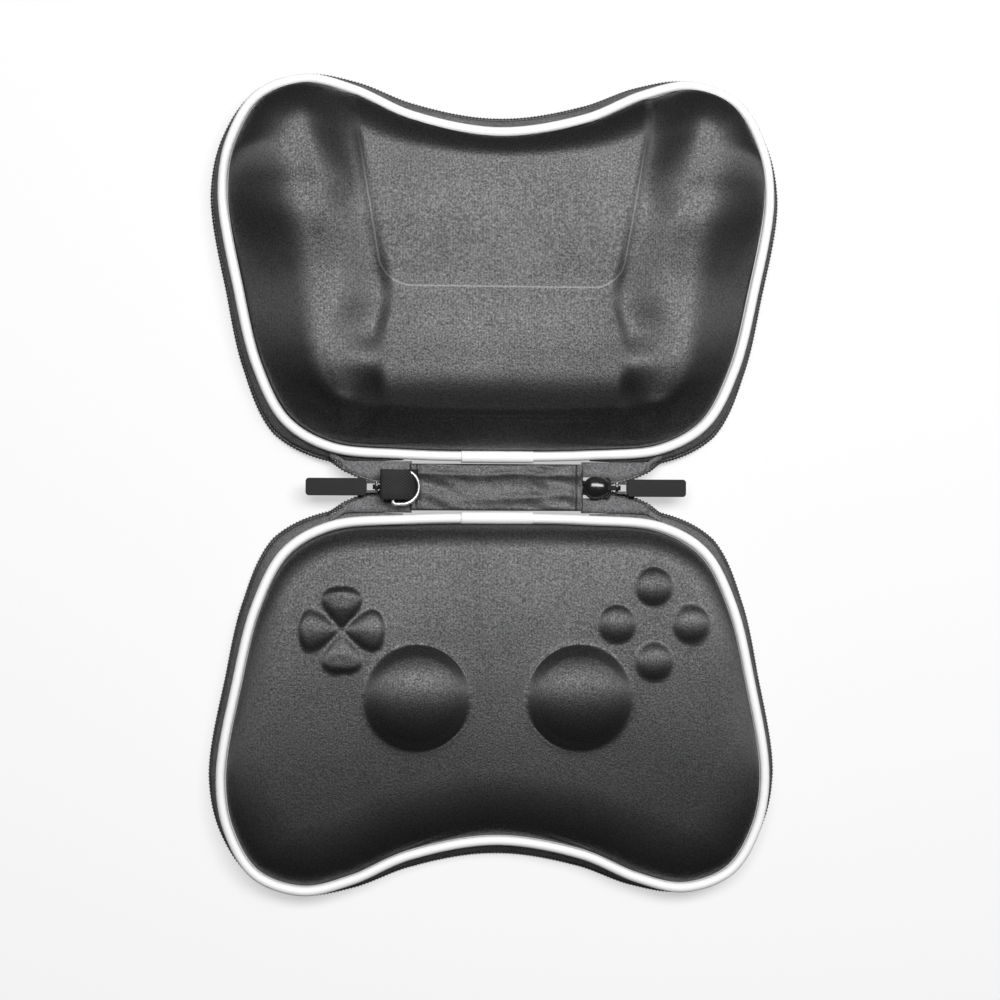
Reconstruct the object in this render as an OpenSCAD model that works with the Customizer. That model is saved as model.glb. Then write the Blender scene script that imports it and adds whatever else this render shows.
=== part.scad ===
// Carrying case for a game controller, opened flat with its hollow sides down.
// The back half lies on the +Y side and the front half on the -Y side of the hinge band.

/* [Rim outline] */
// Width across both grips, between the piping's centres
rim_w = 182; // [172:1:196]
// Hinge line to the tips of the grips
rim_l = 124; // [116:1:136]
// How far the middle of the far edge lies behind the tips
dip_depth = 16.4; // [10:0.2:22]
// Middle of the case to the tip of a grip
tip_x = 64; // [58:1:70]
// Hinge line to the widest place of the grips
widest_y = 86; // [80:1:92]
// Middle of the case to the bend of a shoulder
shoulder_x = 70; // [67:0.5:76]
// Hinge line to the bend of a shoulder
shoulder_y = 11.4; // [9:0.2:15]

/* [Shells] */
// Thickness of the moulded foam with its cloth
shell_t = 3.5; // [2.5:0.1:4.5]
// Height of the back half's flat top above its rim
back_rise = 25; // [20:0.5:32]
// How far the grips swell up from the valleys beside the flat top
grip_rise = 9.5; // [6:0.5:12]
// How far the trigger pads swell up from those valleys
pad_rise = 5.5; // [2:0.5:7]
// How deep the valleys beside the flat top are
valley_depth = 3; // [2:0.5:4]
// Height of the front half's flat top above its rim
front_rise = 15; // [12:0.5:20]
// How far that flat top bends down at its two ends
front_bend = 5; // [3:0.5:6]
// Depth of the bare panel on the back
panel_depth = 0.6; // [0.4:0.1:1.4]

/* [Relief on the front] */
// Diameter of the domes over the two sticks
stick_d = 35; // [30:0.5:37]
// Height of the domes over the two sticks
stick_rise = 9; // [6:0.5:12]
// Middle of the case to the middle of a dome
stick_x = 26.7; // [24:0.1:29]
// Hinge axis of the case to the middle of a dome
stick_y = 68.7; // [66:0.1:72]
// Diameter of a round button's bump
button_d = 12.7; // [10:0.1:14]
// Middle of the button group to the middle of a button
button_ring = 12.3; // [10.5:0.1:13.5]
// Length of one leaf of the cross
leaf_l = 12.7; // [11:0.1:14]
// Width of one leaf of the cross
leaf_w = 11; // [9:0.1:12]
// Height of the buttons and of the cross
bump_rise = 2.6; // [1.5:0.1:4]
// Middle of the case to the middle of the cross and of the button group
group_x = 51.2; // [49:0.1:54]
// Hinge axis of the case to the middle of the cross
cross_y = 46.5; // [44:0.1:48]
// Hinge axis of the case to the middle of the button group
buttons_y = 44.6; // [43:0.1:48]

/* [Piping and zipper] */
// Diameter of the piping
piping_d = 3.2; // [2.6:0.1:3.6]
// Length of the sleeve that joins the piping's ends
sleeve_l = 24; // [16:1:32]
// Thickness of the sleeve's wall
sleeve_t = 0.45; // [0.3:0.05:0.5]
// Thickness of the zipper tape
tape_t = 0.8; // [0.6:0.1:1.2]
// Thickness and width of the zipper's coil
coil_d = 2; // [1.6:0.1:2.2]
// Middle of the case to where each half's zipper tape starts
zip_start_x = 31; // [30:0.5:34]
// Thickness of the tape that covers the seam inside
binding_t = 0.6; // [0.4:0.1:1]
// Width of the tape that covers the seam inside
binding_w = 5; // [4:0.5:7]

/* [Hinge band] */
// Width of the band between its two fold lines
band_w = 15.7; // [15:0.1:18]
// Length of the band along the fold lines
band_l = 57; // [52:0.5:57.2]
// Thickness of the band
band_t = 0.8; // [0.6:0.1:0.8]
// Width of the hem that is folded at each end of the band
hem_w = 2.2; // [1.5:0.1:3]

/* [Sliders] */
// Length of a slider's body
slider_l = 9.5; // [8:0.1:9.8]
// Width of a slider's body at its mouth
slider_w = 7.7; // [7:0.1:9]
// Thickness of a slider's two plates
plate_t = 0.9; // [0.7:0.1:1.1]
// Diameter of the link's bar that a pull swings on
pivot_d = 1.1; // [1:0.1:1.3]
// Thickness of a pull's wire link
link_t = 0.9; // [0.7:0.1:1]
// Length of a pull's grip
grip_l = 20; // [16:0.5:26]
// Width of a pull's grip
grip_w = 5.8; // [5:0.1:7]
// Thickness of a pull's grip
grip_t = 2; // [1.8:0.1:2.4]

/* [Strap and D-ring] */
// Width of the webbing
strap_w = 9.2; // [8:0.1:9.8]
// Thickness of the webbing
strap_t = 0.9; // [0.7:0.1:1.2]
// Diameter of the D-ring's wire
wire_d = 1.2; // [1:0.1:1.4]
// Length of the D-ring past its bar, to the wire's centre
d_reach = 8.6; // [8:0.1:12]

/* [Hidden] */

// Clearances
fit = 0.15;
close_gap = 0.4;
seat = 0.1;

// Levels above the table and places across the hinge
fold_y = band_w / 2;
fold_z = fold_y - close_gap;
piping_off = 2.4;
hinge_y = fold_y + piping_off;
piping_z = fold_z + piping_d / 2;
shell_z = fold_z - 0.3;
tape_out = 1.1;
tape_z = fold_z;

// Samples of the rim between two of its key points
steps = 3;

// One side of the rim from the hinge line's middle to the middle of the far edge.
// Each row: x, y from the hinge line, the tape's reach outwards there, and its share of the full drop.
side_x = rim_w / 2 - shoulder_x;
side_y = widest_y - shoulder_y;
tip_dx = rim_w / 2 - tip_x;
tip_dy = rim_l - widest_y;
start_y = 0.05 * shoulder_y;
start_reach = hinge_y + start_y - tape_out - fold_y - band_t / 2 - 4 * fit;
keys = [
    [0, 0, 0, 0],
    [zip_start_x, start_y, start_reach, 0],
    [0.79 * shoulder_x, 0.25 * shoulder_y, 2.3, 0.6],
    [shoulder_x, shoulder_y, 3.6, 1],
    [shoulder_x + 0.45 * side_x, shoulder_y + 0.238 * side_y, 2.6, 1],
    [shoulder_x + 0.75 * side_x, shoulder_y + 0.578 * side_y, 2.2, 1],
    [rim_w / 2, widest_y, 2.2, 1],
    [rim_w / 2 - 0.1 * tip_dx, widest_y + 0.47 * tip_dy, 1.6, 1],
    [rim_w / 2 - 0.426 * tip_dx, widest_y + 0.851 * tip_dy, 0.8, 1],
    [tip_x, rim_l, 1, 1],
    [0.75 * tip_x, rim_l - 0.207 * dip_depth, 2, 1],
    [0.453 * tip_x, rim_l - 0.7 * dip_depth, 3, 1],
    [0, rim_l - dip_depth, 3.4, 1]
];
last = len(keys) - 1;
side_n = last * steps;
ring_n = 2 * side_n;

function lerp(a, b, t) = a + (b - a) * t;
function smooth(t) = let (c = min(1, max(0, t))) c * c * (3 - 2 * c);
function bell(t) = exp(-t * t);

// The key points past the two ends are the mirror images of their neighbours.
function key(i) = i < 0 ? [-keys[-i][0], keys[-i][1]]
    : i > last ? [-keys[2 * last - i][0], keys[2 * last - i][1]]
    : [keys[i][0], keys[i][1]];

// Centripetal spline through the key points
function knot(a, b) = sqrt(norm(b - a));
function mix(a, b, ta, tb, t) = a * ((tb - t) / (tb - ta)) + b * ((t - ta) / (tb - ta));
function side_point(i, f) =
    let (p0 = key(i - 1), p1 = key(i), p2 = key(i + 1), p3 = key(i + 2))
    let (t1 = knot(p0, p1), t2 = t1 + knot(p1, p2), t3 = t2 + knot(p2, p3), t = lerp(t1, t2, f))
    let (a1 = mix(p0, p1, 0, t1, t), a2 = mix(p1, p2, t1, t2, t), a3 = mix(p2, p3, t2, t3, t))
    let (b1 = mix(a1, a2, 0, t2, t), b2 = mix(a2, a3, t1, t3, t))
    mix(b1, b2, t1, t2, t);

right_side = [for (k = [0:side_n - 1]) side_point(floor(k / steps), (k % steps) / steps)];
far_middle = [0, rim_l - dip_depth];
left_side = [for (k = [side_n - 1:-1:1]) [-right_side[k][0], right_side[k][1]]];
rim_line = concat(right_side, [far_middle], left_side);

// Outward normals and the tape's values at each sample of the rim
function wrap(i) = (i + ring_n) % ring_n;
function rim_normal(i) = let (d = rim_line[wrap(i + 1)] - rim_line[wrap(i - 1)]) [d[1], -d[0]] / norm(d);
function folded(i) = i <= side_n ? i : ring_n - i;
function key_value(i, col) =
    let (k = min(last - 1, floor(folded(i) / steps)))
    lerp(keys[k][col], keys[k + 1][col], folded(i) / steps - k);

// A point of the rim at sample i, moved outwards, in the half's own plane
function rim_at(i, out) = rim_line[wrap(i)] + rim_normal(i) * out + [0, hinge_y];

// The crown: its middle, its wall's breadth at a sample, and its height above the rim
crown_mid = [0, hinge_y + 0.47 * rim_l];
function from_hinge(y) = y - hinge_y;
// Half the breadth of the back's flat middle, the line of the swells beside it and their height
function rise_at(v, from, over) = smooth((v - from * rim_l) / (over * rim_l));
function middle_half(v) = shoulder_x * (0.66 - 0.14 * rise_at(v, 0.27, 0.1) + 0.16 * rise_at(v, 0.42, 0.45));
function swell_line(v) = shoulder_x * (0.73 + 0.19 * rise_at(v, 0.55, 0.4));
function swell_rise(v) = pad_rise * bell((v - 0.28 * rim_l) / 14) + grip_rise * rise_at(v, 0.1, 0.65);
function back_flat(v) = back_rise * (0.8 + 0.2 * rise_at(v, 0.1, 0.14) - 0.08 * rise_at(v, 0.27, 0.5));
function back_top(x, y) =
    let (v = from_hinge(y), out = abs(x) - middle_half(v), off = abs(x) - swell_line(v))
    back_flat(v) - valley_depth * smooth(out / 12)
        + swell_rise(v) * bell(off / (off > 0 ? 24 : 17)) * smooth(out / 18);
function front_top(x, y) = front_rise - front_bend * pow(from_hinge(y) / (0.5 * rim_l) - 1.04, 2);
function back_wall(i) =
    let (p = rim_line[wrap(i)], mid = bell(p[0] / (0.7 * tip_x)), side = lerp(21, 27, rise_at(p[1], 0.1, 0.3)))
    lerp(side, 15 - 5 * mid, rise_at(p[1], 0.75, 0.2));
function front_wall(i) =
    let (p = rim_line[wrap(i)], mid = bell(p[0] / (0.7 * tip_x)), side = lerp(9.5, 15, rise_at(p[1], 0.1, 0.3)))
    lerp(side, 22 + 3 * mid, rise_at(p[1], 0.75, 0.2));

// How far up its height a wall has come at a share of its breadth
function wall_share(q) = let (c = min(1, max(0, q))) pow(1 - pow(1 - c, 2.3), 1 / 2.1);

function top_at(back, x, y) = back ? back_top(x, y) : front_top(x, y);
function wall_at(back, i) = back ? back_wall(i) : front_wall(i);

// A crown's point at sample i and share u of the way in, for a skin that lies skin_t inside the outer one
function crown_point(back, i, u, skin_t) =
    let (r = rim_at(i, -piping_d / 2 - seat - skin_t), p = lerp(r, crown_mid, u))
    let (in = (r - p) * rim_normal(i))
    let (share = wall_share(in / (wall_at(back, i) - 0.4 * skin_t)))
    [p[0], p[1], shell_z + (top_at(back, p[0], p[1]) - skin_t) * share];

outer_u = [0, 0.015, 0.04, 0.075, 0.12, 0.18, 0.25, 0.33, 0.43, 0.57, 0.77];
inner_u = [0.7, 0.4, 0.22, 0.11, 0.04, 0];

// A crown's height above the table at one place of its flat top
function top_z(back, x, y) = shell_z + top_at(back, x, y);

// Joins equal rings of points, one after the other, into a closed skin
function band_faces(a, b, n) = [for (j = [0:n - 1]) let (k = (j + 1) % n)
    each [[a + j, a + k, b + k], [a + j, b + k, b + j]]];

// A moulded shell: outer rings up to a middle point, inner rings down from one, and the rim between them
module crown_shell(back) {
    outer = [for (u = outer_u) each [for (i = [0:ring_n - 1]) crown_point(back, i, u, 0)]];
    inner = [for (u = inner_u) each [for (i = [0:ring_n - 1]) crown_point(back, i, u, shell_t)]];
    top = [each crown_mid, top_z(back, 0, crown_mid[1])];
    roof = [each crown_mid, top_z(back, 0, crown_mid[1]) - shell_t];
    points = concat(outer, [top], inner, [roof]);
    no = len(outer_u);
    ni = len(inner_u);
    top_i = no * ring_n;
    in_0 = top_i + 1;
    roof_i = in_0 + ni * ring_n;
    last_o = (no - 1) * ring_n;
    last_i = in_0 + (ni - 1) * ring_n;
    faces = concat(
        [for (r = [0:no - 2]) each band_faces(r * ring_n, (r + 1) * ring_n, ring_n)],
        [for (j = [0:ring_n - 1]) [last_o + j, last_o + (j + 1) % ring_n, top_i]],
        [for (j = [0:ring_n - 1]) [in_0 + (j + 1) % ring_n, in_0 + j, roof_i]],
        [for (r = [0:ni - 2]) each band_faces(in_0 + r * ring_n, in_0 + (r + 1) * ring_n, ring_n)],
        band_faces(last_i, 0, ring_n)
    );
    polyhedron(points, [for (f = faces) [f[2], f[1], f[0]]], convexity = 6);
}

// A solid swept through a list of sections, each a loop of the same number of points
module swept(sections, closed) {
    n = len(sections[0]);
    m = len(sections);
    points = [for (s = sections) each s];
    sides = [for (r = [0:m - (closed ? 1 : 2)]) each band_faces(r * n, ((r + 1) % m) * n, n)];
    caps = closed ? [] : [[for (j = [n - 1:-1:0]) j], [for (j = [0:n - 1]) (m - 1) * n + j]];
    polyhedron(points, concat(sides, caps), convexity = 6);
}

// A section's point at rim sample i, out from the piping's centre line and at height z
function section_point(i, out, z) = let (p = rim_at(i, out)) [p[0], p[1], z];

// A round section round the piping's centre line
function round_section(i, r, n) = [for (k = [0:n - 1]) let (a = 360 * (k + 0.5) / n)
    section_point(i, r * cos(a), piping_z + r * sin(a))];

// The tape's way from the seam at sample i: outwards by reach and down by drop
function tape_drop(i) = (tape_z - coil_d - 2 * seat) * key_value(i, 3);
function tape_len(i) = norm([key_value(i, 2), tape_drop(i)]);

// A flat section from a to b along the tape; a foot brings its far end down to the table
function strip(i, a, b, thick, foot = 0) =
    let (c = key_value(i, 2) / tape_len(i), s = tape_drop(i) / tape_len(i))
    [for (q = [[a, -1], [b, -1], [b, 1], [a, 1]])
        let (z = tape_z - q[0] * s + q[1] * c * thick / 2)
        section_point(i, tape_out + q[0] * c + q[1] * s * thick / 2, q[0] == b ? lerp(z, 0, foot) : z)];
function coil_strip(i) = let (a = tape_len(i) + 2 * seat)
    strip(i, a, a + coil_d, coil_d, smooth(2 * key_value(i, 3) - 1));

// A half's parts, drawn for the back half
module piping() {
    swept([for (i = [0:ring_n - 1]) round_section(i, piping_d / 2, 6)], true);
}

// The sleeve wraps the piping's free side and stops at the shell and above the fold
module piping_sleeve() {
    out_r = piping_d / 2 + seat + sleeve_t;
    difference() {
        translate([-sleeve_l / 2, hinge_y, piping_z]) rotate([0, 90, 0]) cylinder(r = out_r, h = sleeve_l, $fn = 48);
        translate([-sleeve_l, hinge_y, piping_z]) rotate([0, 90, 0])
            cylinder(d = piping_d + 2 * seat, h = 2 * sleeve_l, $fn = 48);
        translate([-sleeve_l, hinge_y + piping_d / 2, piping_z - out_r - 1])
            cube([2 * sleeve_l, out_r, 2 * out_r + 2]);
        translate([-sleeve_l, hinge_y - out_r - 1, piping_z - out_r - 1])
            cube([2 * sleeve_l, 2 * out_r + 2, out_r + 1 - 0.5]);
    }
}

module zipper_tape() {
    swept([for (i = [steps:ring_n - steps]) strip(i, 0, tape_len(i), tape_t)], false);
}

module zipper_coil() {
    swept([for (i = [2 * steps:ring_n - 2 * steps]) coil_strip(i)], false);
}

module seam_binding() {
    from_out = -piping_d / 2 - seat;
    translate([0, 0, shell_z - seat - binding_t]) linear_extrude(binding_t) difference() {
        polygon([for (i = [0:ring_n - 1]) rim_at(i, from_out)]);
        polygon([for (i = [0:ring_n - 1]) rim_at(i, from_out - binding_w)]);
    }
}

// The bare panel on the back: a shallow tapering field cut along the crown's own height
panel_far_w = 0.53 * rim_w;
panel_near_w = 0.37 * rim_w;
panel_far_y = hinge_y + 0.88 * rim_l;
panel_near_y = hinge_y + 0.45 * rim_l;
module panel_cut() {
    n = 8;
    function spot(a, b) =
        let (y = lerp(panel_near_y, panel_far_y, b), w = lerp(panel_near_w, panel_far_w, b))
        [(a - 0.5) * w, y];
    low = [for (b = [0:n]) for (a = [0:n]) let (p = spot(a / n, b / n))
        [p[0], p[1], top_z(true, p[0], p[1]) - panel_depth]];
    high = [for (p = low) [p[0], p[1], top_z(true, 0, 0) + 2 * grip_rise]];
    row = n + 1;
    all = row * row;
    cells = [for (b = [0:n - 1]) for (a = [0:n - 1]) let (c = b * row + a) each [
        [c, c + 1, c + row + 1], [c, c + row + 1, c + row],
        [all + c, all + c + row + 1, all + c + 1], [all + c, all + c + row, all + c + row + 1]
    ]];
    edge = concat([for (a = [0:n - 1]) a], [for (b = [0:n - 1]) b * row + n],
        [for (a = [n:-1:1]) n * row + a], [for (b = [n:-1:1]) b * row]);
    m = len(edge);
    walls = [for (j = [0:m - 1]) let (e = edge[j], f = edge[(j + 1) % m])
        each [[e, all + e, all + f], [e, all + f, f]]];
    polyhedron(concat(low, high), concat(cells, walls), convexity = 4);
}

// A raised form with a rounded shoulder, from discs of falling size
module rounded_step(levels) {
    hull() {
        for (l = levels) {
            translate([0, 0, l[1]]) linear_extrude(0.02) scale([l[0], l[0]]) children();
        }
    }
}

// Shares of size and of height up a bump, and the depth that its foot reaches into the shell
bump_levels = [[1, -1.5], [1, 0.3 * bump_rise], [0.86, 0.76 * bump_rise], [0.55, bump_rise]];

module button_bump() {
    rounded_step(bump_levels) circle(d = button_d, $fn = 20);
}

module leaf_bump() {
    r = leaf_w / 2;
    translate([leaf_l - r + 1.6, 0, 0]) rounded_step(bump_levels) hull() {
        circle(r = r, $fn = 20);
        translate([-(leaf_l - r - 1), 0]) circle(r = 1, $fn = 8);
    }
}

function dome_levels(h, foot) = [[1, -foot], [1, 0.3 * h], [0.95, 0.62 * h], [0.82, 0.85 * h],
    [0.6, 0.97 * h], [0.3, h]];

module stick_dome(d, h, foot, sides) {
    rounded_step(dome_levels(h, foot)) circle(d = d, $fn = sides);
}

module front_relief() {
    for (sx = [-1, 1]) {
        translate([sx * stick_x, stick_y, top_z(false, sx * stick_x, stick_y)])
            stick_dome(stick_d, stick_rise, shell_t - 1, 32);
    }
    for (a = [0:90:270]) {
        translate([-group_x, cross_y, top_z(false, group_x, cross_y)]) rotate(a) leaf_bump();
        translate([group_x, buttons_y, top_z(false, group_x, buttons_y)]) rotate(a)
            translate([button_ring, 0, 0]) button_bump();
    }
}

module back_shell() {
    color("#2b2b2d") difference() {
        crown_shell(true);
        panel_cut();
    }
}

module front_shell() {
    color("#2b2b2d") mirror([0, 1, 0]) difference() {
        union() {
            crown_shell(false);
            front_relief();
        }
        for (sx = [-1, 1]) {
            translate([sx * stick_x, stick_y, top_z(false, sx * stick_x, stick_y) - shell_t])
                stick_dome(stick_d - 2 * shell_t, stick_rise, 3, 20);
        }
    }
}

module back_piping() { color("white") piping(); }
module back_piping_sleeve() { color("white") piping_sleeve(); }
module back_zipper_tape() { color("#4a4a4c") zipper_tape(); }
module back_zipper_coil() { color("#222222") zipper_coil(); }
module back_seam_binding() { color("#1c1c1e") seam_binding(); }
module front_piping() { color("white") mirror([0, 1, 0]) piping(); }
module front_piping_sleeve() { color("white") mirror([0, 1, 0]) piping_sleeve(); }
module front_zipper_tape() { color("#4a4a4c") mirror([0, 1, 0]) zipper_tape(); }
module front_zipper_coil() { color("#222222") mirror([0, 1, 0]) zipper_coil(); }
module front_seam_binding() { color("#1c1c1e") mirror([0, 1, 0]) seam_binding(); }

// The cloth band between the fold lines, rolled round at each fold, with a folded hem at each end
hem_t = 0.8;
module hinge_band() {
    color("#2a2a2c") {
        translate([-band_l / 2, -fold_y, fold_z - band_t / 2]) cube([band_l, 2 * fold_y, band_t]);
        for (sy = [-1, 1]) {
            translate([-band_l / 2, sy * fold_y, fold_z]) rotate([0, 90, 0])
                cylinder(d = band_t, h = band_l, $fn = 32);
        }
        for (sx = [-1, 1]) {
            translate([sx * (band_l - hem_w) / 2, 0, fold_z + (band_t + hem_t) / 2 - 0.1])
                cube([hem_w, 2 * fold_y - 2, hem_t], center = true);
        }
    }
}

// A slider, drawn for the right side: its mouth faces +X
slider_x = band_l / 2 + 0.4;
mouth_x = slider_x + slider_l;
channel_h = coil_d + 2 * fit;
plate_top = fold_z + channel_h / 2 + plate_t;
pivot_x = mouth_x + 1.6;
pivot_z = fold_z + coil_d / 2 + seat + pivot_d / 2 + 1.25;

// Plan of a slider's plates: narrow at the band, broad and round at the mouth
module plate_plan(grow) {
    narrow = 0.62 * slider_w;
    r = slider_w / 2;
    polygon(concat(
        [[slider_x, -narrow / 2 - grow], [slider_x + 0.4 * slider_l, -narrow / 2 - grow]],
        [for (a = [-75:15:75]) [mouth_x - 0.42 * r + (0.42 * r + grow) * cos(a), (r + grow) * sin(a)]],
        [[slider_x + 0.4 * slider_l, narrow / 2 + grow], [slider_x, narrow / 2 + grow]]
    ));
}

module slider_body() {
    rail = 0.8;
    translate([0, 0, fold_z - channel_h / 2 - plate_t]) linear_extrude(plate_t) plate_plan(0);
    translate([0, 0, fold_z + channel_h / 2]) linear_extrude(plate_t) plate_plan(0);
    difference() {
        translate([0, 0, fold_z - channel_h / 2]) linear_extrude(channel_h) plate_plan(0);
        translate([0, 0, fold_z - channel_h]) linear_extrude(2 * channel_h) plate_plan(-rail);
        translate([slider_x - 1, -coil_d / 2 - fit, fold_z - channel_h])
            cube([slider_l, coil_d + 2 * fit, 2 * channel_h]);
        translate([mouth_x - 2.4, -slider_w, fold_z - channel_h])
            cube([slider_w, 2 * slider_w, 2 * channel_h]);
        translate([slider_x - 1, -slider_w, fold_z - channel_h / 2 - 0.5])
            cube([2.2, 2 * slider_w, 0.5]);
    }
    translate([mouth_x - 2.6, 0, fold_z]) cylinder(d = 1.6, h = channel_h + 0.2, center = true, $fn = 32);
}

// The domed cap on the slider, with the tongue that holds the pull's link
tongue_w = 1.6;
nose_r = pivot_d / 2 + fit + 0.55;
cap_r = 0.42 * slider_w;
module slider_cap(cap_h) {
    base = plate_top + 0.05;
    cap_x = slider_x + 0.5 * slider_l;
    difference() {
        union() {
            intersection() {
                translate([cap_x, 0, base]) scale([1.35, 1.05, cap_h / cap_r]) sphere(r = cap_r, $fn = 48);
                translate([slider_x, -slider_w / 2, base]) cube([slider_l, slider_w, 2 * slider_w]);
            }
            translate([0, tongue_w / 2, 0]) rotate([90, 0, 0]) linear_extrude(tongue_w) tongue_plan(base);
        }
        translate([pivot_x, 0, pivot_z]) rotate([90, 0, 0])
            cylinder(d = pivot_d + 2 * fit, h = 2 * tongue_w, center = true, $fn = 32);
    }
}

// Side view of the tongue: a foot on the plate and a round nose about the link's bar
module tongue_plan(base) {
    translate([pivot_x, pivot_z]) circle(r = nose_r, $fn = 48);
    polygon([[slider_x + 0.45 * slider_l, base], [mouth_x - 0.3, base],
        [pivot_x - 0.5 * nose_r, pivot_z - 0.8 * nose_r], [pivot_x, pivot_z], [pivot_x, pivot_z + 0.95 * nose_r],
        [mouth_x - 2, pivot_z + 0.5], [slider_x + 0.45 * slider_l, base + 0.9]]);
}

// The coil near a slider: meshed inside it, and two legs out of its mouth towards the halves
leg_end = (mouth_x + 0.9 * shoulder_x) / 2;
near_x = mouth_x + 2.6;
module chain_end() {
    h = coil_d - 0.1;
    leg_h = coil_d - 0.6;
    split = mouth_x - 4.2;
    translate([band_l / 2 + 0.1, -coil_d / 2, fold_z - h / 2]) cube([split - band_l / 2 - 0.1, coil_d, h]);
    for (sy = [-1, 1]) {
        translate([0, 0, fold_z - leg_h / 2]) linear_extrude(leg_h) polygon([
            [split - 0.3, sy * 0.05], [split + 0.1, sy * 0.2], [mouth_x - 2.8, sy], [mouth_x - 1.6, sy * 1.1],
            [near_x, sy * 0.4], [leg_end, sy * (fold_y - 2.9)], [leg_end - 0.9, sy * (fold_y - 1.3)],
            [near_x, sy * 2.3], [mouth_x - 1.6, sy * 2.5], [mouth_x - 2.8, sy * 2.25],
            [split - 0.3, sy * 0.98]
        ]);
    }
}

// The tape near a slider: flat webs from the fold lines to the slider's sides and to the coil's two legs
module tape_end() {
    start = band_l / 2 + 0.2;
    beside = slider_w / 2 + 0.25;
    for (sy = [-1, 1]) {
        translate([0, 0, fold_z - tape_t / 2]) linear_extrude(tape_t) polygon([
            [start, sy * beside], [mouth_x + 0.3, sy * beside], [mouth_x + 0.3, sy * 2.75],
            [near_x, sy * 2.45], [leg_end - 0.9, sy * (fold_y - 0.8)], [leg_end + 0.6, sy * fold_y],
            [start, sy * fold_y]
        ]);
        translate([start, sy * fold_y, fold_z]) rotate([0, 90, 0])
            cylinder(d = tape_t, h = leg_end + 0.6 - start, $fn = 32);
    }
}

// A pull's link: a round bar through the tongue and a flat wire loop on from it, drawn level
link_w = 3.9;
link_wire = 0.85;
link_reach = 4.6;
module pull_link() {
    rotate([90, 0, 0]) cylinder(d = pivot_d, h = link_w, center = true, $fn = 32);
    translate([0, 0, -link_t / 2]) linear_extrude(link_t) difference() {
        translate([0, -link_w / 2]) square([link_reach, link_w]);
        translate([-1, -link_w / 2 + link_wire]) square([1 + link_reach - 1.4, link_w - 2 * link_wire]);
    }
}

// A pull's grip: a flat tab with round corners and a slot that holds the link's end
grip_start = 3.4;
module pull_grip() {
    r = 1.1;
    difference() {
        translate([grip_start, 0, -grip_t / 2]) linear_extrude(grip_t) hull() {
            for (x = [r, grip_l - r]) {
                for (sy = [-1, 1]) {
                    translate([x, sy * (grip_w / 2 - r)]) circle(r = r, $fn = 32);
                }
            }
        }
        translate([grip_start - 1, -link_w / 2 - 0.05, -link_t / 2 - 0.05])
            cube([link_reach - grip_start + 1.1, link_w + 0.1, link_t + 0.1]);
    }
}

// A pull hangs from its bar with a slight droop; side is 1 on the right and -1 on the left
droop = 4;
module hung(side) {
    mirror([side > 0 ? 0 : 1, 0, 0]) translate([pivot_x, 0, pivot_z]) rotate([0, droop, 0]) children();
}

// The webbing loop over the left slider: sewn to the band, up, round the ring's bar and back
bar_r = wire_d / 2 + fit;
low_cap = 1;
strap_low = plate_top + low_cap + 0.25;
bar_z = strap_low + strap_t + bar_r;
bar_x = -(mouth_x - 3.8);
module d_ring_strap() {
    outer = bar_r + strap_t;
    low = bar_z - outer;
    foot = fold_z + band_t / 2 + hem_t - 0.08;
    hem_in = -(band_l / 2 - hem_w);
    rotate([90, 0, 0]) linear_extrude(strap_w, center = true) difference() {
        union() {
            translate([bar_x, bar_z]) circle(r = outer, $fn = 48);
            polygon([[bar_x, low], [-slider_x + 0.1, low], [-band_l / 2 + 0.2, foot], [hem_in, foot],
                [hem_in, foot + strap_t], [-band_l / 2 + 0.5, foot + strap_t + 0.3],
                [bar_x + 3.2, bar_z + outer], [bar_x, bar_z + outer]]);
        }
        translate([bar_x, bar_z]) circle(r = bar_r, $fn = 48);
        translate([bar_x, bar_z - 0.15]) square([3.2, 0.3]);
    }
}

// The D-ring: a straight bar in the strap's fold and a round bow that lies towards the band
bend_r = 0.85;
d_half = strap_w / 2 + fit + bend_r;
ring_droop = 5;
module d_ring() {
    straight = d_reach - d_half;
    color("silver") translate([bar_x, 0, bar_z]) rotate([0, ring_droop, 0]) {
        rotate([90, 0, 0]) cylinder(d = wire_d, h = 2 * (d_half - bend_r), center = true, $fn = 32);
        for (a = [0, 180]) {
            rotate([a, 0, 0]) {
                translate([bend_r, d_half - bend_r, 0]) rotate([0, 0, 90])
                    rotate_extrude(angle = 90, $fn = 64) translate([bend_r, 0]) circle(d = wire_d, $fn = 32);
                translate([bend_r, d_half, 0]) rotate([0, 90, 0])
                    cylinder(d = wire_d, h = straight - bend_r, $fn = 32);
            }
        }
        translate([straight, 0, 0]) rotate([0, 0, -90]) rotate_extrude(angle = 180, $fn = 64)
            translate([d_half, 0]) circle(d = wire_d, $fn = 32);
    }
}

module left_chain_end() { color("#222222") mirror([1, 0, 0]) chain_end(); }
module right_chain_end() { color("#222222") chain_end(); }
module left_tape_end() { color("#4a4a4c") mirror([1, 0, 0]) tape_end(); }
module right_tape_end() { color("#4a4a4c") tape_end(); }
module left_slider_body() { color("#1a1a1a") mirror([1, 0, 0]) slider_body(); }
module right_slider_body() { color("#1a1a1a") slider_body(); }
module left_slider_cap() { color("#1a1a1a") mirror([1, 0, 0]) slider_cap(low_cap); }
module right_slider_cap() { color("#1a1a1a") slider_cap(2.2); }
module left_pull_link() { color("#8a8a8c") hung(-1) pull_link(); }
module left_pull_grip() { color("#161616") hung(-1) pull_grip(); }
module right_pull_link() { color("#8a8a8c") hung(1) pull_link(); }
module right_pull_grip() { color("#161616") hung(1) pull_grip(); }

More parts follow.
